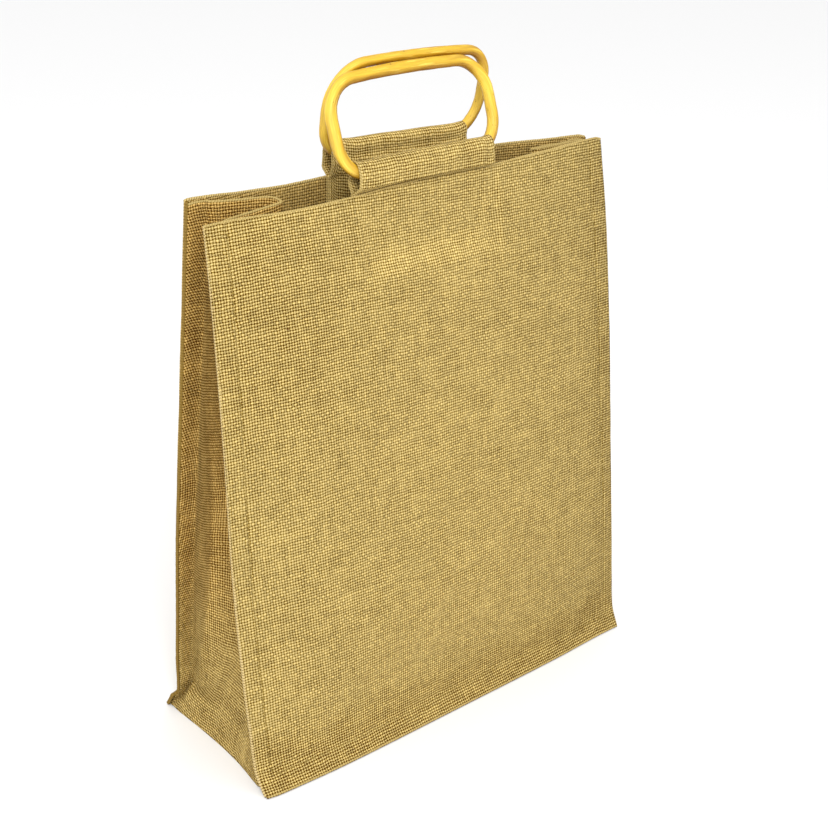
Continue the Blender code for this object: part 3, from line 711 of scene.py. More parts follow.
def panel_cloth(panel, place, finish):
    """One panel, with its ditches at the stitch lines and its small waves."""
    heights, columns = panel_places(panel)
    grid, states = [], []
    for height, xs in zip(heights, columns):
        pull = sum(bell(xs - seam_x(panel, side, height), DITCH_WIDTH) for side in (0, 1))
        pull = pull * ease(BASE_SEAM - 0.003, BASE_SEAM, height)
        pull = np.maximum(pull, bell(height - BASE_SEAM, BASE_DITCH_WIDTH) * 0.7)
        broad = np.array([ripple(x, height, 0.034, 3.0 + panel.inward) for x in xs])
        fine = np.array([ripple(x, height, 0.013, 9.0) for x in xs])
        calm = ease(0.0, 0.03, height) * ease(0.0, 0.012, TOP - height)
        ys = panel_y(panel, xs, height) + panel.inward * (pull * DITCH_DEPTH)
        ys = ys + (broad + 0.5 * fine) * calm * WAVES
        if panel is FRONT:
            for x in RIDGES:
                ys = ys - RIDGE_HEIGHT * bell(xs - x, RIDGE_WIDTH) * ease(0.325, 0.345, height) * calm
        grid.append(np.stack([xs, ys, real_height(panel, xs, height)], axis=1))
        states += [panel_state(panel, x, height) for x in xs]
    grid = np.array(grid)
    spread = np.stack([run_length(grid, 1, grid.shape[1] // 2), run_length(grid, 0, 0)], axis=2)
    return cloth_piece(f"panel_{place}", grid, spread, states, finish, "jute")


def streaks(x, y, seed):
    """Thin upright and level bands, from -1 to 1, where the yarn of one batch is thicker or lighter."""
    return ripple(x, y * 0.1, 0.005, seed) * 0.6 + ripple(x * 0.1, y, 0.005, seed + 5) * 0.6


def uneven(kind, x, y):
    patches = kind.patches * ripple(x, y, kind.size, kind.seed)
    return kind.mean + patches + kind.streaks * streaks(x, y, kind.streak_seed)


def cloth_state(open_weave, light, painted_shade):
    """How open and how light the cloth is at a place, and how much painted shade browns it, each from 0 to
    1.
    """
    return min(max(open_weave, 0.0), 1.0), min(max(light, 0.0), 1.0), float(painted_shade), 1.0


def panel_state(panel, x, height):
    open_weave, light = uneven(PANEL_OPEN, x, height), uneven(PANEL_LIGHT, x, height)
    painted_shade = 0.0
    if panel is FRONT:
        foot = 1 - ease(0.018, 0.048, height + 0.006 * ripple(x, height, 0.02, 45.0))
        corner = (1 - ease(-0.13, -0.03, x)) * ease(0.2, 0.3, height)
        open_weave += 0.42 * foot + 0.22 * ease(0.13, 0.175, x) + 0.22 * corner
        light += 0.22 * foot + 0.08 * corner - 0.16 * ease(0.02, 0.17, x)
        # Painted highlight on the slope that faces up below the dent, and painted highlight lines beside
        # the sleeve legs' ridges
        band = ease(0.330, 0.337, height) - ease(0.346, 0.356, height)
        light += 0.32 * band * (ease(-0.060, -0.040, x) - ease(0.030, 0.074, x))
        legs = sum(bell(x - side, 0.0022) for side in LEG_LINES) * ease(0.318, 0.34, height)
        light += 0.18 * legs
    else:
        # Painted shade over the inside of the back panel
        painted_shade = 0.55
    return cloth_state(open_weave, light, painted_shade)


def strip_cloth(finish):
    """The one strip that makes both gussets and the base."""
    coarse = strip_grid()
    across = refine(coarse, 1)
    # Columns 2 and -3 of the coarse grid are the stitch lines
    stitches = [int(np.argmin(np.linalg.norm(across[0] - coarse[0, k], axis=1))) for k in (2, -3)]
    grid = refine(across, 0)
    middle = int(np.argmin(np.abs(grid[:, grid.shape[1] // 2, 0])))
    # The crossing yarns lie level at both tops, so the cloth takes up the sections' slant under the bag
    left, right = run_length(grid, 0, 0), run_length(grid, 0, -1)
    right = right - right[middle].mean() + left[middle].mean()
    share = ease(-0.12, 0.12, grid[..., 0])
    spread = np.stack([run_length(grid, 1, grid.shape[1] // 2), mix(left, right, share)], axis=2)
    states = []
    for line, places in zip(grid, spread):
        for (x, _, z), place in zip(line, places):
            ditch = sum(bell(place[0] - places[k, 0], BASE_DITCH_WIDTH) for k in stitches)
            # Painted shade: browner high up the gussets, and less on the right gusset
            painted_shade = (0.12 + 0.88 * ease(0.03, 0.16, z)) * mix(1.0, 0.4, ease(-0.1, 0.1, x))
            # Painted shade along the stitch ditches
            light = uneven(STRIP_LIGHT, *place) - 0.35 * ditch
            states.append(cloth_state(uneven(STRIP_OPEN, *place), light, painted_shade))
    return cloth_piece("gussets_and_base", grid, spread, states, finish, "gusset_jute")


def sleeve_cloth(place, finish):
    grid = refine(refine(sleeve_grid(place), 1, 0.0018), 0, 0.0026)
    spread = np.stack([run_length(grid, 0, 0), run_length(grid, 1, 0)], axis=2)
    states = [
        cloth_state(uneven(SLEEVE_OPEN, *spot), uneven(SLEEVE_LIGHT[place], *spot), 0.0)
        for spot in spread.reshape(-1, 2)
    ]
    return cloth_piece(f"sleeve_{place}", grid, spread, states, finish, "sleeve_jute")


def spread_out(rows, count):
    """The rows of a table, drawn out or cut down evenly to this many."""
    rows = np.asarray(rows, float)
    wanted = np.linspace(0, len(rows) - 1, count)
    return np.stack([np.interp(wanted, np.arange(len(rows)), values) for values in rows.T], axis=1)


def even_steps(path, step):
    """The same path with its points this far apart."""
    path = np.asarray(path, float)
    reach = np.concatenate([[0.0], np.cumsum(np.linalg.norm(np.diff(path, axis=0), axis=1))])
    wanted = np.linspace(0.0, reach[-1], max(2, round(reach[-1] / step) + 1))
    return np.stack([np.interp(wanted, reach, values) for values in path.T], axis=1)


def rolled_edge(bundle, path, radius, relief=1.0, face=(0.31, 0.52, 0.79), flat=1.0):
    """A cloth edge where the crossing yarns turn over, one bead for each yarn."""
    pitch = sizes().yarn_pitch
    path = even_steps(path, pitch / 5)
    sides = 8
    reach = np.arange(len(path)) * pitch / 5
    turns = 2 * math.pi * np.arange(sides) / sides
    bead = np.abs(np.sin(math.pi * reach[:, None] / pitch + turns[None, :] / 2))
    swell = ripples(*((s / 0.004, radius * 9000, len(path)) for s in reach))
    widths = radius * (1.0 + relief * (0.26 * bead - 0.18) + 0.16 * swell[:, None])
    bundle.add(path, widths, sides, face=face, flat=flat)


def along(panel, spots, lift):
    """A line this far above the middle of a panel's cloth, and the way that the panel faces on it."""
    faces = [out_of(panel, *spot) for spot in spots]
    return [on_panel(panel, *spot) + lift * out for spot, out in zip(spots, faces)], faces


def flange_edge(panel, side):
    """The line in the middle of a flange's edge, where panel and gusset end together."""
    spots = []
    for height in np.concatenate([np.arange(FLANGE_FOOT, 0.03, STEP), np.linspace(0.03, TOP, 150)]):
        inward = (1, -1)[side] * mix(*FLANGE_IN, ease(0.10, 0.24, height))
        spots.append((float(edge_x(panel, side, height)) + inward, height))
    return along(panel, spots, -LAYER / 2)


def seam_line(panel, side):
    """The stitch line at one side of a panel."""
    heights = np.linspace(BASE_SEAM, TOP - 0.004, 120)
    spots = [(float(seam_x(panel, side, height)), height) for height in heights]
    return along(panel, spots, CLOTH / 2 - DITCH_DEPTH - 0.0001)


def level_line(panel, line_x, height, count, inset=0.0):
    """Places from side to side of a panel, where line_x gives the two ends of the line."""
    left, right = (float(line_x(panel, side, height)) for side in (0, 1))
    return [(x, height) for x in np.linspace(left + inset, right - inset, count)]


def stitch_line(bundle, line, faces):
    """A row of stitches along a line, each lying on the cloth and going down into it at both ends."""
    made = sizes()
    path = even_steps(line, STEP)
    facing = spread_out(faces, len(path))
    long, gap = round(made.stitch_length / STEP), round(made.stitch_gap / STEP)
    picker = random.Random(len(path))
    for start in range(gap, len(path) - long, long + gap):
        spots = np.linspace(start, start + long, 6).round().astype(int)
        rise = (STITCH_RISE + picker.uniform(-0.1, 0.1)) * made.stitch_thread
        stitch = path[spots] + facing[spots] * rise[:, None]
        bundle.add(stitch, np.full(6, made.stitch_thread / 2), face=facing[spots])


def loose_fibres(bundle, panel, seed):
    """Fine hairs that lie on a panel, each a little bent and partly lifted."""
    picker = random.Random(seed)
    for _ in range(HAIRS):
        x, height = picker.uniform(-0.165, 0.165), picker.uniform(0.01, 0.385)
        turn = picker.uniform(0, 2 * math.pi)
        long, bend = picker.uniform(0.002, 0.006), picker.uniform(-1.2, 1.2)
        path = []
        for share in np.linspace(-0.5, 0.5, 6):
            here = turn + bend * share
            spot = (x + long * share * math.cos(here), height + long * share * math.sin(here))
            lift = CLOTH / 2 + 0.0002 + 0.0006 * (share + 0.5) ** 2 * picker.uniform(0.4, 1.0)
            path.append(on_panel(panel, *spot) + out_of(panel, *spot) * lift)
        bundle.add(path, np.full(6, HAIR), 4)


def fleck(bundle, x, height, long, turn, wide):
    """A bit of bark or dark yarn caught in the front's weave."""
    reach = long * np.linspace(-0.5, 0.5, 5)
    spots = list(zip(x + reach * math.cos(turn), height + reach * math.sin(turn)))
    bundle.add(along(FRONT, spots, CLOTH / 2)[0], wide * np.array((0.5, 0.9, 1.0, 0.8, 0.4)))


def cane(place, seed):
    """The points, faces and corner places of one ring, and its painted highlight on the side towards the
    light and painted shade underneath.
    """
    path = ring_path(place)
    path = even_steps(np.concatenate([path, path[:1]]), CANE_RINGS)[:-1]
    reach = np.arange(len(path)) * CANE_RINGS
    round_ = reach / reach[-1] * 6.283
    turns = 2 * math.pi * np.arange(CANE_SIDES) / CANE_SIDES
    swell = ripples(*((math.cos(a) * 2.2, math.sin(a) * 2.2, seed) for a in round_))
    # The cane was split and shaved, so it has soft flats that wander round it
    lean = 0.9 * ripples(*((s / 0.05, seed, 1.0) for s in reach))[:, None]
    flats = 0.045 * np.cos(3 * (turns + lean)) + 0.03 * np.cos(5 * turns - 2 * lean)
    rough = [
        ripples(*((math.cos(t) * 1.6, math.sin(t) * 1.6, s / 0.006 + seed * 9) for t in turns))
        for s in reach
    ]
    widths = 1.0 + 0.05 * swell[:, None] + flats + 0.035 * np.array(rough)
    made = tube(path, HANDLES[place].cane / 2 * widths, CANE_SIDES, closed=True, face=(0.0, 1.0, 0.3))
    # Painted shade: browner underneath, and a painted highlight on the side towards the light
    outward = np.array(made[0]) - np.repeat(path, CANE_SIDES, axis=0)
    outward /= np.linalg.norm(outward, axis=1)[:, None]
    shade_under = ease(-0.35, 0.75, outward @ np.array((0.50, 0.10, -0.86)))
    outer = ease(0.25, 1.0, outward @ np.array((-0.80, -0.52, 0.30)))
    return *made, np.stack([shade_under * 0, outer, shade_under, shade_under * 0 + 1], axis=1)


def node(tree, kind, inputs=(), **settings):
    """A node with its settings, its inputs joined or set, by number or by name."""
    made = tree.nodes.new("ShaderNode" + kind)
    for key, value in settings.items():
        setattr(made, key, value)
    for key, value in dict(inputs).items():
        if isinstance(value, bpy.types.NodeSocket):
            tree.links.new(value, made.inputs[key])
        else:
            made.inputs[key].default_value = value
    return made


def feed(made, **values):
    """Joins sockets to a node's inputs, by name."""
    for label, value in values.items():
        value.id_data.links.new(value, made.inputs[label.replace("_", " ")])


def tree_of(*values):
    """The node tree of the first value that is a socket."""
    return next(value.id_data for value in values if isinstance(value, bpy.types.NodeSocket))


def calc(operation, *values):
    return node(tree_of(*values), "Math", enumerate(values), operation=operation).outputs[0]


def plus(*values):
    return reduce(lambda one, other: calc("ADD", one, other), values)


def times(*values):
    return reduce(lambda one, other: calc("MULTIPLY", one, other), values)


def vector(operation, first, second):
    inputs = {0: first, "Scale" if operation == "SCALE" else 1: second}
    return node(tree_of(first, second), "VectorMath", inputs, operation=operation).outputs[0]


def point(x, y, z=0.0):
    return node(tree_of(x, y, z), "CombineXYZ", {0: x, 1: y, 2: z}).outputs[0]


def laid(tree):
    """Where a place lies along and across the cloth, or along and round the yarn."""
    flat = node(tree, "UVMap", uv_map=LAID).outputs[0]
    return flat, *node(tree, "SeparateXYZ", {0: flat}).outputs


def state_in(tree):
    """The three numbers of the place's state."""
    state = node(tree, "Attribute", attribute_name=STATE).outputs["Color"]
    return node(tree, "SeparateColor", {0: state}).outputs


def blend(low, high, share, kind="MIX"):
    inputs = {"Factor": share, 6: low, 7: high}
    tree = tree_of(low, high, share)
    return node(tree, "Mix", inputs, data_type="RGBA", blend_type=kind).outputs[2]


def span(value, low, high, start=0.0, end=1.0, kind="SMOOTHSTEP"):
    inputs = {0: value, 1: low, 2: high, 3: start, 4: end}
    return node(tree_of(value), "MapRange", inputs, interpolation_type=kind).outputs[0]


def cloud(place, scale, detail=1.0, output=0):
    """Smooth noise around 0.5."""
    inputs = {"Vector": place, "Scale": scale, "Detail": detail}
    return node(tree_of(place), "TexNoise", inputs, noise_dimensions="3D").outputs[output]


def drift(place, scale, detail, strength):
    """A smooth push this strong, in a direction that changes from place to place."""
    push = vector("SUBTRACT", cloud(place, scale, detail, "Color"), (0.5, 0.5, 0.5))
    return vector("SCALE", push, strength)


def group(name, colours, numbers, outputs):
    """A shader group with inputs by these names, and a colour and numbers that it gives out."""
    tree = bpy.data.node_groups.new(name, "ShaderNodeTree")
    for labels, way, kind in (
        (colours, "INPUT", "NodeSocketColor"),
        (numbers, "INPUT", "NodeSocketFloat"),
        (("Color",), "OUTPUT", "NodeSocketColor"),
        (outputs, "OUTPUT", "NodeSocketFloat"),
    ):
        for label in labels:
            tree.interface.new_socket(name=label, in_out=way, socket_type=kind)
    return tree, tree.nodes.new("NodeGroupInput").outputs, tree.nodes.new("NodeGroupOutput")


def plain_weave_group():
    """A plain weave of uneven yarns, with the gaps between them."""
    outputs = ("Height", "Roughness")
    tree, given, made = group("Plain weave", ("Crown", "Yarn", "Gap"), ("Pitch", "Shift"), outputs)
    crown, yarn, gap, pitch, shift, _ = given
    flat = laid(tree)[0]
    open_weave, tone_and_painted_light, painted_shade = state_in(tree)
    shifted = vector("ADD", flat, point(0.0, 0.0, shift))
    wanders = vector("ADD", drift(shifted, 30.0, 2.0, 0.8), drift(shifted, 170.0, 1.0, 0.55))
    yarns = vector("ADD", vector("SCALE", flat, calc("DIVIDE", 1.0, pitch)), wanders)
    at = node(tree, "SeparateXYZ", {0: yarns}).outputs[:2]
    cell = [calc("FLOOR", number) for number in at]
    inside = [calc("SUBTRACT", calc("SUBTRACT", at[k], cell[k]), 0.5) for k in (0, 1)]
    odd = calc("MODULO", calc("ABSOLUTE", plus(*cell)), 2.0)
    over = calc("MULTIPLY_ADD", odd, -2.0, 1.0)
    heights, tones = [], []
    for k, sign in ((0, 1.0), (1, -1.0)):
        other = 1 - k
        # Each yarn is thick and thin along its length, and no two are alike
        which = calc("MULTIPLY_ADD", cell[k], 3.71, 11.3 + 50 * k)
        thick = cloud(point(which, times(at[other], 0.10), shift), 1.0, 2.0)
        half = calc("MULTIPLY_ADD", open_weave, -0.24, 0.485)
        half = plus(half, calc("MULTIPLY_ADD", thick, 0.34, -0.17))
        across = calc("DIVIDE", inside[k], half)
        swell = calc("SUBTRACT", 1.0, times(across, across))
        there = calc("GREATER_THAN", swell, 0.0)
        swell = calc("SQRT", calc("MAXIMUM", swell, 0.0))
        wave = times(calc("COSINE", times(inside[other], math.pi)), over, sign)
        height = times(plus(wave, swell), 0.5)
        heights.append(calc("SUBTRACT", height, calc("MULTIPLY_ADD", there, -2.0, 2.0)))
        # Fine fibres run along the yarn
        fibre = cloud(point(times(at[k], 7.0), times(at[other], 0.7), 3.0 + 9 * k), 1.0)
        tones.append(plus(times(thick, 0.5), times(fibre, 0.45), sign * -FAMILY))
    first = calc("GREATER_THAN", *heights)
    height = calc("MAXIMUM", calc("MAXIMUM", *heights), -0.6)
    tone = node(tree, "Mix", {0: first, 2: tones[1], 3: tones[0]}).outputs[0]
    knot = node(tree, "TexWhiteNoise", {"Vector": point(*cell, shift)}, noise_dimensions="3D").outputs[0]
    # Painted shade in the gaps and on the yarns' sides, and painted highlight on their tops, over the
    # jute's own colour
    colour = blend(gap, yarn, span(height, -0.40, 0.40))
    colour = blend(colour, crown, span(height, 0.30, 0.92))
    # Painted shade: cloth in shade takes on the brown of the cloth round it
    colour = blend(colour, blend((1.0, 1.0, 1.0, 1.0), SHADED, painted_shade), 1.0, "MULTIPLY")
    patch = cloud(shifted, 55.0, 3.0)
    # The state's light is the cloth's own tone together with painted highlight and painted shade
    light = plus(times(tone_and_painted_light, 0.60), times(patch, 0.10), times(tone, 0.66), 0.225)
    light = calc("MULTIPLY_ADD", knot, 0.30, light)
    feed(
        made,
        Color=vector("SCALE", colour, light),
        Height=plus(height, times(tone, 0.12)),
        Roughness=span(height, -0.3, 0.9, 0.98, 0.74, "LINEAR"),
    )


def yarn_group():
    """A twisted yarn seen from close by: beads with painted highlight, and painted shade in the creases
    between them.
    """
    tree, given, made = group("Twisted yarn", ("Light", "Dark"), ("Pitch", "Slant"), ("Height",))
    light, dark, pitch, slant, _ = given
    _, reach, turn, _ = laid(tree)
    steps = calc("DIVIDE", reach, pitch)
    bead = calc("ABSOLUTE", calc("SINE", times(plus(steps, times(turn, slant)), math.pi)))
    fibre = cloud(point(times(steps, 1.5), times(turn, 14.0)), 1.0, 2.0)
    tone = plus(times(calc("SUBTRACT", fibre, 0.5), 0.5), 1.0)
    colour = vector("SCALE", blend(dark, light, span(bead, 0.05, 0.6)), tone)
    feed(made, Color=colour, Height=plus(bead, times(fibre, 0.4)))


def finish(name, roughness, **shader_values):
    made = bpy.data.materials.new(name)
    made.use_nodes = True
    shader = made.node_tree.nodes["Principled BSDF"]
    values = {"Roughness": roughness, "Metallic": 0.0, **shader_values}
    for label, value in values.items():
        shader.inputs[label.replace("_", " ")].default_value = value
    return made, shader


def bump(shader, height, distance, strength=1.0):
    inputs = {"Height": height, "Distance": distance, "Strength": strength}
    feed(shader, Normal=node(tree_of(height), "Bump", inputs).outputs[0])


def solid(colour):
    return (*colour, 1.0)


def jute_finish(name, look, values, roughness, shine):
    """A finish that one of the shared groups gives its colour, and the outputs of that group."""
    made, shader = finish(name, roughness, Specular_IOR_Level=shine)
    look = node(made.node_tree, "Group", node_tree=bpy.data.node_groups[look])
    for label, value in values.items():
        look.inputs[label].default_value = value
    feed(shader, Base_Color=look.outputs["Color"])
    return shader, look.outputs


def woven_finish(name, shift):
    """Jute cloth, from the light tops of its yarns to its dark gaps, which carry painted highlight and
    painted shade.
    """
    colours = bag_colours()
    values = {label: solid(getattr(colours, label.lower())) for label in ("Crown", "Yarn", "Gap")}
    values |= {"Pitch": sizes().yarn_pitch, "Shift": shift}
    shader, weave = jute_finish(name, "Plain weave", values, 0.9, 0.08)
    feed(shader, Roughness=weave["Roughness"])
    bump(shader, weave["Height"], 0.0005, 0.9)


def yarn_finish(name, light, dark, pitch, slant=1.0):
    values = {"Light": solid(light), "Dark": solid(dark), "Pitch": pitch, "Slant": slant}
    shader, yarn = jute_finish(name, "Twisted yarn", values, 0.85, 0.12)
    bump(shader, yarn["Height"], 0.00025)


def cane_finish():
    """Bent cane under clear varnish, with dry pale streaks, darker bands, small nicks, a painted highlight
    on the side towards the light and painted shade underneath.
    """
    shine = {"Specular_IOR_Level": 0.3, "Coat_Weight": 0.12, "Coat_Roughness": 0.3}
    made, shader = finish("Varnished cane", 0.5, **shine)
    tree = made.node_tree
    colours = bag_colours()
    dark, pale = solid(colours.cane_dark), solid(colours.cane_pale_and_highlight)
    _, reach, turn, _ = laid(tree)
    turn = times(turn, 2 * math.pi)
    ring = [times(calc(kind, turn), 0.004) for kind in ("COSINE", "SINE")]

    def grain(stretch, scale, detail):
        return cloud(point(*ring, times(reach, stretch)), scale, detail)

    fine, streak, broad = grain(0.05, 1500.0, 3.0), grain(0.09, 520.0, 3.0), grain(0.16, 210.0, 2.0)
    _, outer, shade_under = state_in(tree)
    body = blend(dark, solid(colours.cane), span(broad, 0.36, 0.54))
    body = blend(body, dark, span(streak, 0.46, 0.32, 0.0, 0.7))
    body = blend(body, pale, span(streak, 0.54, 0.68, 0.0, 0.85))
    # Painted highlight on the side towards the light, and painted shade underneath
    body = blend(body, pale, times(outer, 0.65))
    body = blend(body, solid(colours.cane_painted_shade), times(shade_under, 0.95))
    body = vector("SCALE", body, calc("MULTIPLY_ADD", fine, 0.7, 0.65))
    spots = span(grain(0.5, 620.0, 2.0), 0.715, 0.755, 0.0, 0.8)
    feed(shader, Base_Color=blend(body, solid(colours.cane_mark), spots))
    bump(shader, calc("SUBTRACT", plus(streak, times(fine, 0.6)), spots), 0.00035, 0.8)


def length_property(name, description, default):
    return bpy.props.FloatProperty(
        name=name, description=description, default=default, unit="LENGTH", precision=4
    )


class JuteBagSizes(bpy.types.PropertyGroup):
    cloth: length_property("Cloth", "Thickness of the jute cloth", CLOTH)
    yarn_pitch: length_property("Yarn spacing", "From one yarn of the weave to the next", 0.002)
    stitch_length: length_property("Stitch", "Length of one stitch", 0.0045)
    stitch_gap: length_property("Stitch gap", "From one stitch to the next", 0.0015)
    stitch_thread: length_property("Thread", "Thickness of the sewing thread", 0.0007)
    edge: length_property("Rolled edge", "Radius of the rolled cloth edges", 0.0010)


def colour_property(name, description, default):
    return bpy.props.FloatVectorProperty(
        name=name, description=description, default=default, subtype="COLOR", min=0, max=1
    )


class JuteBagColours(bpy.types.PropertyGroup):
    # The yarn tops, yarn and gaps carry the weave's painted highlight and painted shade as well as the
    # jute's own colour
    crown: colour_property("Yarn tops", "The light tops of the panels' yarns", (0.55, 0.415, 0.168))
    yarn: colour_property("Yarn", "The panels' yarn", (0.245, 0.155, 0.015))
    gap: colour_property("Gaps", "The dark gaps in the weave", (0.068, 0.023, 0.001))
    cane: colour_property("Cane", "The varnished cane", (0.60, 0.345, 0.005))
    cane_dark: colour_property("Dark cane", "The darker bands of the cane", (0.45, 0.22, 0.003))
    # The cane's pale streaks, and also the painted highlight on its side towards the light
    cane_pale_and_highlight: colour_property("Pale cane", "The pale streaks of the cane", (0.86, 0.60, 0.085))
    cane_mark: colour_property("Cane marks", "The joints and nicks of the cane", (0.13, 0.045, 0.003))
    # Painted shade under the cane
    cane_painted_shade: colour_property("Cane underside", "The browner cane underneath", (0.25, 0.095, 0.0005))


def sizes():
    return bpy.context.scene.jute_bag_sizes


def bag_colours():
    return bpy.context.scene.jute_bag_colours


def tinted(colour, shares):
    """A colour made stronger or weaker in its red, green and blue."""
    return tuple(min(1.0, part * share) for part, share in zip(colour, shares))


def mixed(first, second, share):
    return tuple(mix(a, b, share) for a, b in zip(first, second))


class JUTEBAG_OT_finishes(bpy.types.Operator):
    """Makes the weave, the yarn and every finish of the bag"""

    bl_idname = "jute_bag.finishes"
    bl_label = "Finishes"

    def execute(self, context):
        plain_weave_group()
        yarn_group()
        colours, pitch = bag_colours(), sizes().yarn_pitch
        crown, yarn, gap = colours.crown, colours.yarn, colours.gap
        for name, shift in (("Panel jute", 0.0), ("Gusset jute", 3.7), ("Sleeve jute", 7.9)):
            woven_finish(name, shift)
        pale = tinted(crown, (1.12, 1.12, 1.25))
        # A darker copy with painted shade, for the back flange edges that stand in the front panel's shade
        shaded_edge = tinted(mixed(crown, yarn, 0.8), (0.78, 0.72, 0.75))
        yarn_finish("Rolled jute edge", crown, tinted(yarn, (0.8, 0.75, 0.7)), pitch)
        yarn_finish("Folded jute edge", mixed(crown, yarn, 0.25), mixed(crown, yarn, 0.7), pitch)
        yarn_finish("Flange edge front", pale, mixed(yarn, gap, 0.6), pitch, 0.0)
        yarn_finish("Flange edge back", shaded_edge, mixed(yarn, gap, 0.5), pitch, 0.0)
        yarn_finish("Bark fleck", tinted(gap, (2.0, 1.6, 1.5)), gap, 0.0006)
        yarn_finish("Jute thread", mixed(crown, yarn, 0.6), yarn, 0.0009)
        cane_finish()
        return {"FINISHED"}


class JUTEBAG_OT_panels(bpy.types.Operator):
    """Makes the front and the back panel"""

    bl_idname = "jute_bag.panels"
    bl_label = "Panels"

    def execute(self, context):
        for place, panel in PANELS.items():
            piece = panel_cloth(panel, place, "Panel jute")
            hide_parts(f"{place}_panel")
        return {"FINISHED"}


class JUTEBAG_OT_gussets(bpy.types.Operator):
    """Makes the strip that runs down one side, under the bag and up the other side"""

    bl_idname = "jute_bag.gussets"
    bl_label = "Gussets and base"

    def execute(self, context):
        piece = strip_cloth("Gusset jute")
        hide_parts("gusset_strip")
        return {"FINISHED"}


class JUTEBAG_OT_sleeves(bpy.types.Operator):
    """Makes the two cloth sleeves that hold the handles"""

    bl_idname = "jute_bag.sleeves"
    bl_label = "Handle sleeves"

    def execute(self, context):
        for place in PANELS:
            piece = sleeve_cloth(place, "Sleeve jute")
            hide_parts(f"handle_sleeve_{place}")
        return {"FINISHED"}


class JUTEBAG_OT_handles(bpy.types.Operator):
    """Makes the two cane handles"""

    bl_idname = "jute_bag.handles"
    bl_label = "Cane handles"

    def execute(self, context):
        for place, seed in (("front", 5.0), ("back", 8.0)):
            *shape, worn = cane(place, seed)
            piece = mesh_piece(f"handle_{place}", *shape, "Varnished cane", "cane", worn)
            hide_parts(f"cane_ring_{place}")
        return {"FINISHED"}


class JUTEBAG_OT_edges(bpy.types.Operator):
    """Makes the rolled edges of every cloth"""

    bl_idname = "jute_bag.edges"
    bl_label = "Rolled edges"

    def execute(self, context):
        radius = sizes().edge
        folded = "Folded jute edge"
        tops = ("front", 0.8, 0.3, folded), ("back", 1.0, 1.0, "Rolled jute edge")
        for place, wide, relief, look in tops:
            panel = PANELS[place]
            bundle = Bundle()
            top = along(panel, level_line(panel, edge_x, TOP, 160), 0.0)[0]
            rolled_edge(bundle, top, radius * wide, relief)
            bundle.piece(f"top_edge_{place}", look, "jute")
            bundle = Bundle()
            for side in (0, 1):
                line, faces = flange_edge(panel, side)
                line = even_steps(line, sizes().yarn_pitch / 5)
                rolled_edge(bundle, line, radius * 0.9, 0.5, spread_out(faces, len(line)), 1.75)
            bundle.piece(f"flange_edges_{place}", f"Flange edge {place}", "jute")
            # The panel's cloth turns under along the floor
            bundle = Bundle()
            foot = [on_panel(panel, x, FOLD) for x, _ in level_line(panel, edge_x, REST, 160, 0.001)]
            rolled_edge(bundle, foot, radius * 0.9, 0.9, (0.0, 0.0, 1.0))
            bundle.piece(f"foot_edge_{place}", folded, "jute")
        ends = (
            ("gusset", [strip_grid()], 0.8, 0.5),
            ("sleeve", [sleeve_grid(place) for place in PANELS], 0.75, 1.0),
        )
        for name, grids, wide, relief in ends:
            bundle = Bundle()
            for line in (grid[end] for grid in grids for end in (0, -1)):
                rolled_edge(bundle, refine(line[:, None], 0)[:, 0], radius * wide, relief)
            bundle.piece(f"edges_{name}s", folded, f"{name}_jute")
        return {"FINISHED"}


class JUTEBAG_OT_stitching(bpy.types.Operator):
    """Sews the side seams and the base seams, and adds loose fibres and bark flecks"""

    bl_idname = "jute_bag.stitching"
    bl_label = "Stitching"

    def execute(self, context):
        for place, panel in PANELS.items():
            bundle = Bundle()
            for side in (0, 1):
                stitch_line(bundle, *seam_line(panel, side))
            base = level_line(panel, seam_x, BASE_SEAM, 120)
            stitch_line(bundle, *along(panel, base, CLOTH / 2 - DITCH_DEPTH * 0.7))
            loose_fibres(bundle, panel, f"fibres {place}")
            bundle.piece(f"seams_{place}", "Jute thread", "jute")
        bundle = Bundle()
        for spot in FLECKS:
            fleck(bundle, *spot)
        bundle.piece("flecks_front", "Bark fleck", "jute")
        return {"FINISHED"}


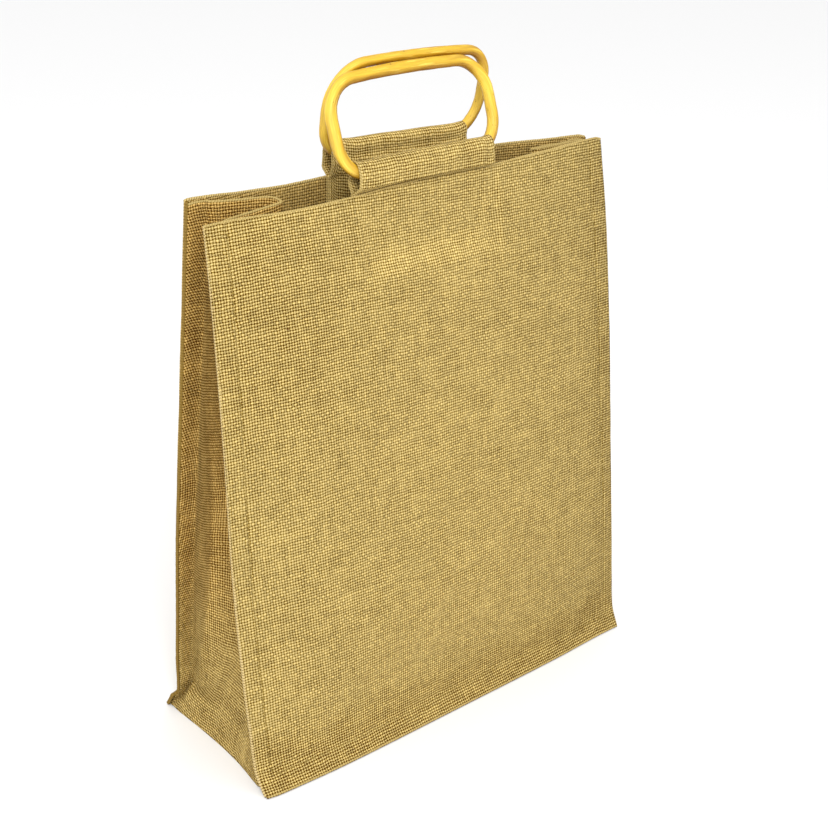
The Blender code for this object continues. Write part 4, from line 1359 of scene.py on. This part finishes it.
class JUTEBAG_OT_stage(bpy.types.Operator):
    """Sets up the floor, the studio light and the camera"""

    bl_idname = "jute_bag.stage"
    bl_label = "Stage"

    def execute(self, context):
        scene = context.scene
        scene.view_settings.view_transform = "Standard"
        mesh = bpy.data.meshes.new("studio_floor")
        corners = [(x * FLOOR, y * FLOOR, 0) for x, y in ((-1, -1), (1, -1), (1, 1), (-1, 1))]
        mesh.from_pydata(corners, [], [(0, 1, 2, 3)])
        made, shader = finish("Studio floor", 0.9)
        shader.inputs["Base Color"].default_value = (0.9, 0.9, 0.9, 1.0)
        mesh.materials.append(made)
        floor = stand("studio_floor", mesh)
        world = bpy.data.worlds.new("Studio")
        world.use_nodes = True
        world.node_tree.nodes["Background"].inputs[0].default_value = (1.0, 1.0, 1.0, 1.0)
        world.node_tree.nodes["Background"].inputs[1].default_value = 1.0
        scene.world = world
        for name, place, size, power in LAMPS:
            light = bpy.data.lights.new(name, "AREA")
            light.energy, light.size = power, size
            lamp = stand(name, light)
            lamp.location = place
            aim = Vector((0, 0, 0.2)) - lamp.location
            lamp.rotation_euler = aim.to_track_quat("-Z", "Y").to_euler()
        camera = stand("Camera", bpy.data.cameras.new("Camera"))
        ahead, right = Vector(CAMERA_AHEAD).normalized(), Vector(CAMERA_RIGHT).normalized()
        up = right.cross(ahead).normalized()
        turn = Matrix((right, up, -ahead)).transposed().to_4x4()
        roll = Matrix.Rotation(math.radians(CAMERA_ROLL), 4, "Z")
        camera.matrix_world = Matrix.Translation(CAMERA_PLACE) @ turn @ roll
        camera.data.sensor_width = 36.0
        camera.data.lens = LENS
        camera.data.clip_start = 0.01
        scene.camera = camera
        return {"FINISHED"}


OPERATORS = (
    JUTEBAG_OT_stage,
    JUTEBAG_OT_finishes,
    JUTEBAG_OT_panels,
    JUTEBAG_OT_gussets,
    JUTEBAG_OT_handles,
    JUTEBAG_OT_sleeves,
    JUTEBAG_OT_edges,
    JUTEBAG_OT_stitching,
)


class JUTEBAG_PT_pieces(bpy.types.Panel):
    """Lists the bag's sizes, colours and pieces"""

    bl_idname = "JUTEBAG_PT_pieces"
    bl_label = "Jute bag"
    bl_space_type = "VIEW_3D"
    bl_region_type = "UI"
    bl_category = "Jute bag"

    def draw(self, context):
        for values in (context.scene.jute_bag_sizes, context.scene.jute_bag_colours):
            for name in values.bl_rna.properties.keys():
                if name not in ("rna_type", "name"):
                    self.layout.prop(values, name)
        for operator in OPERATORS:
            self.layout.operator(operator.bl_idname)


CLASSES = (JuteBagSizes, JuteBagColours, *OPERATORS, JUTEBAG_PT_pieces)


def register():
    for made in CLASSES:
        bpy.utils.register_class(made)
    bpy.types.Scene.jute_bag_sizes = bpy.props.PointerProperty(type=JuteBagSizes)
    bpy.types.Scene.jute_bag_colours = bpy.props.PointerProperty(type=JuteBagColours)


def unregister():
    del bpy.types.Scene.jute_bag_colours
    del bpy.types.Scene.jute_bag_sizes
    for made in reversed(CLASSES):
        bpy.utils.unregister_class(made)


def main():
    register()
    for operator in OPERATORS:
        getattr(bpy.ops.jute_bag, operator.bl_idname.split(".")[1])()


if __name__ == "__main__":
    main()
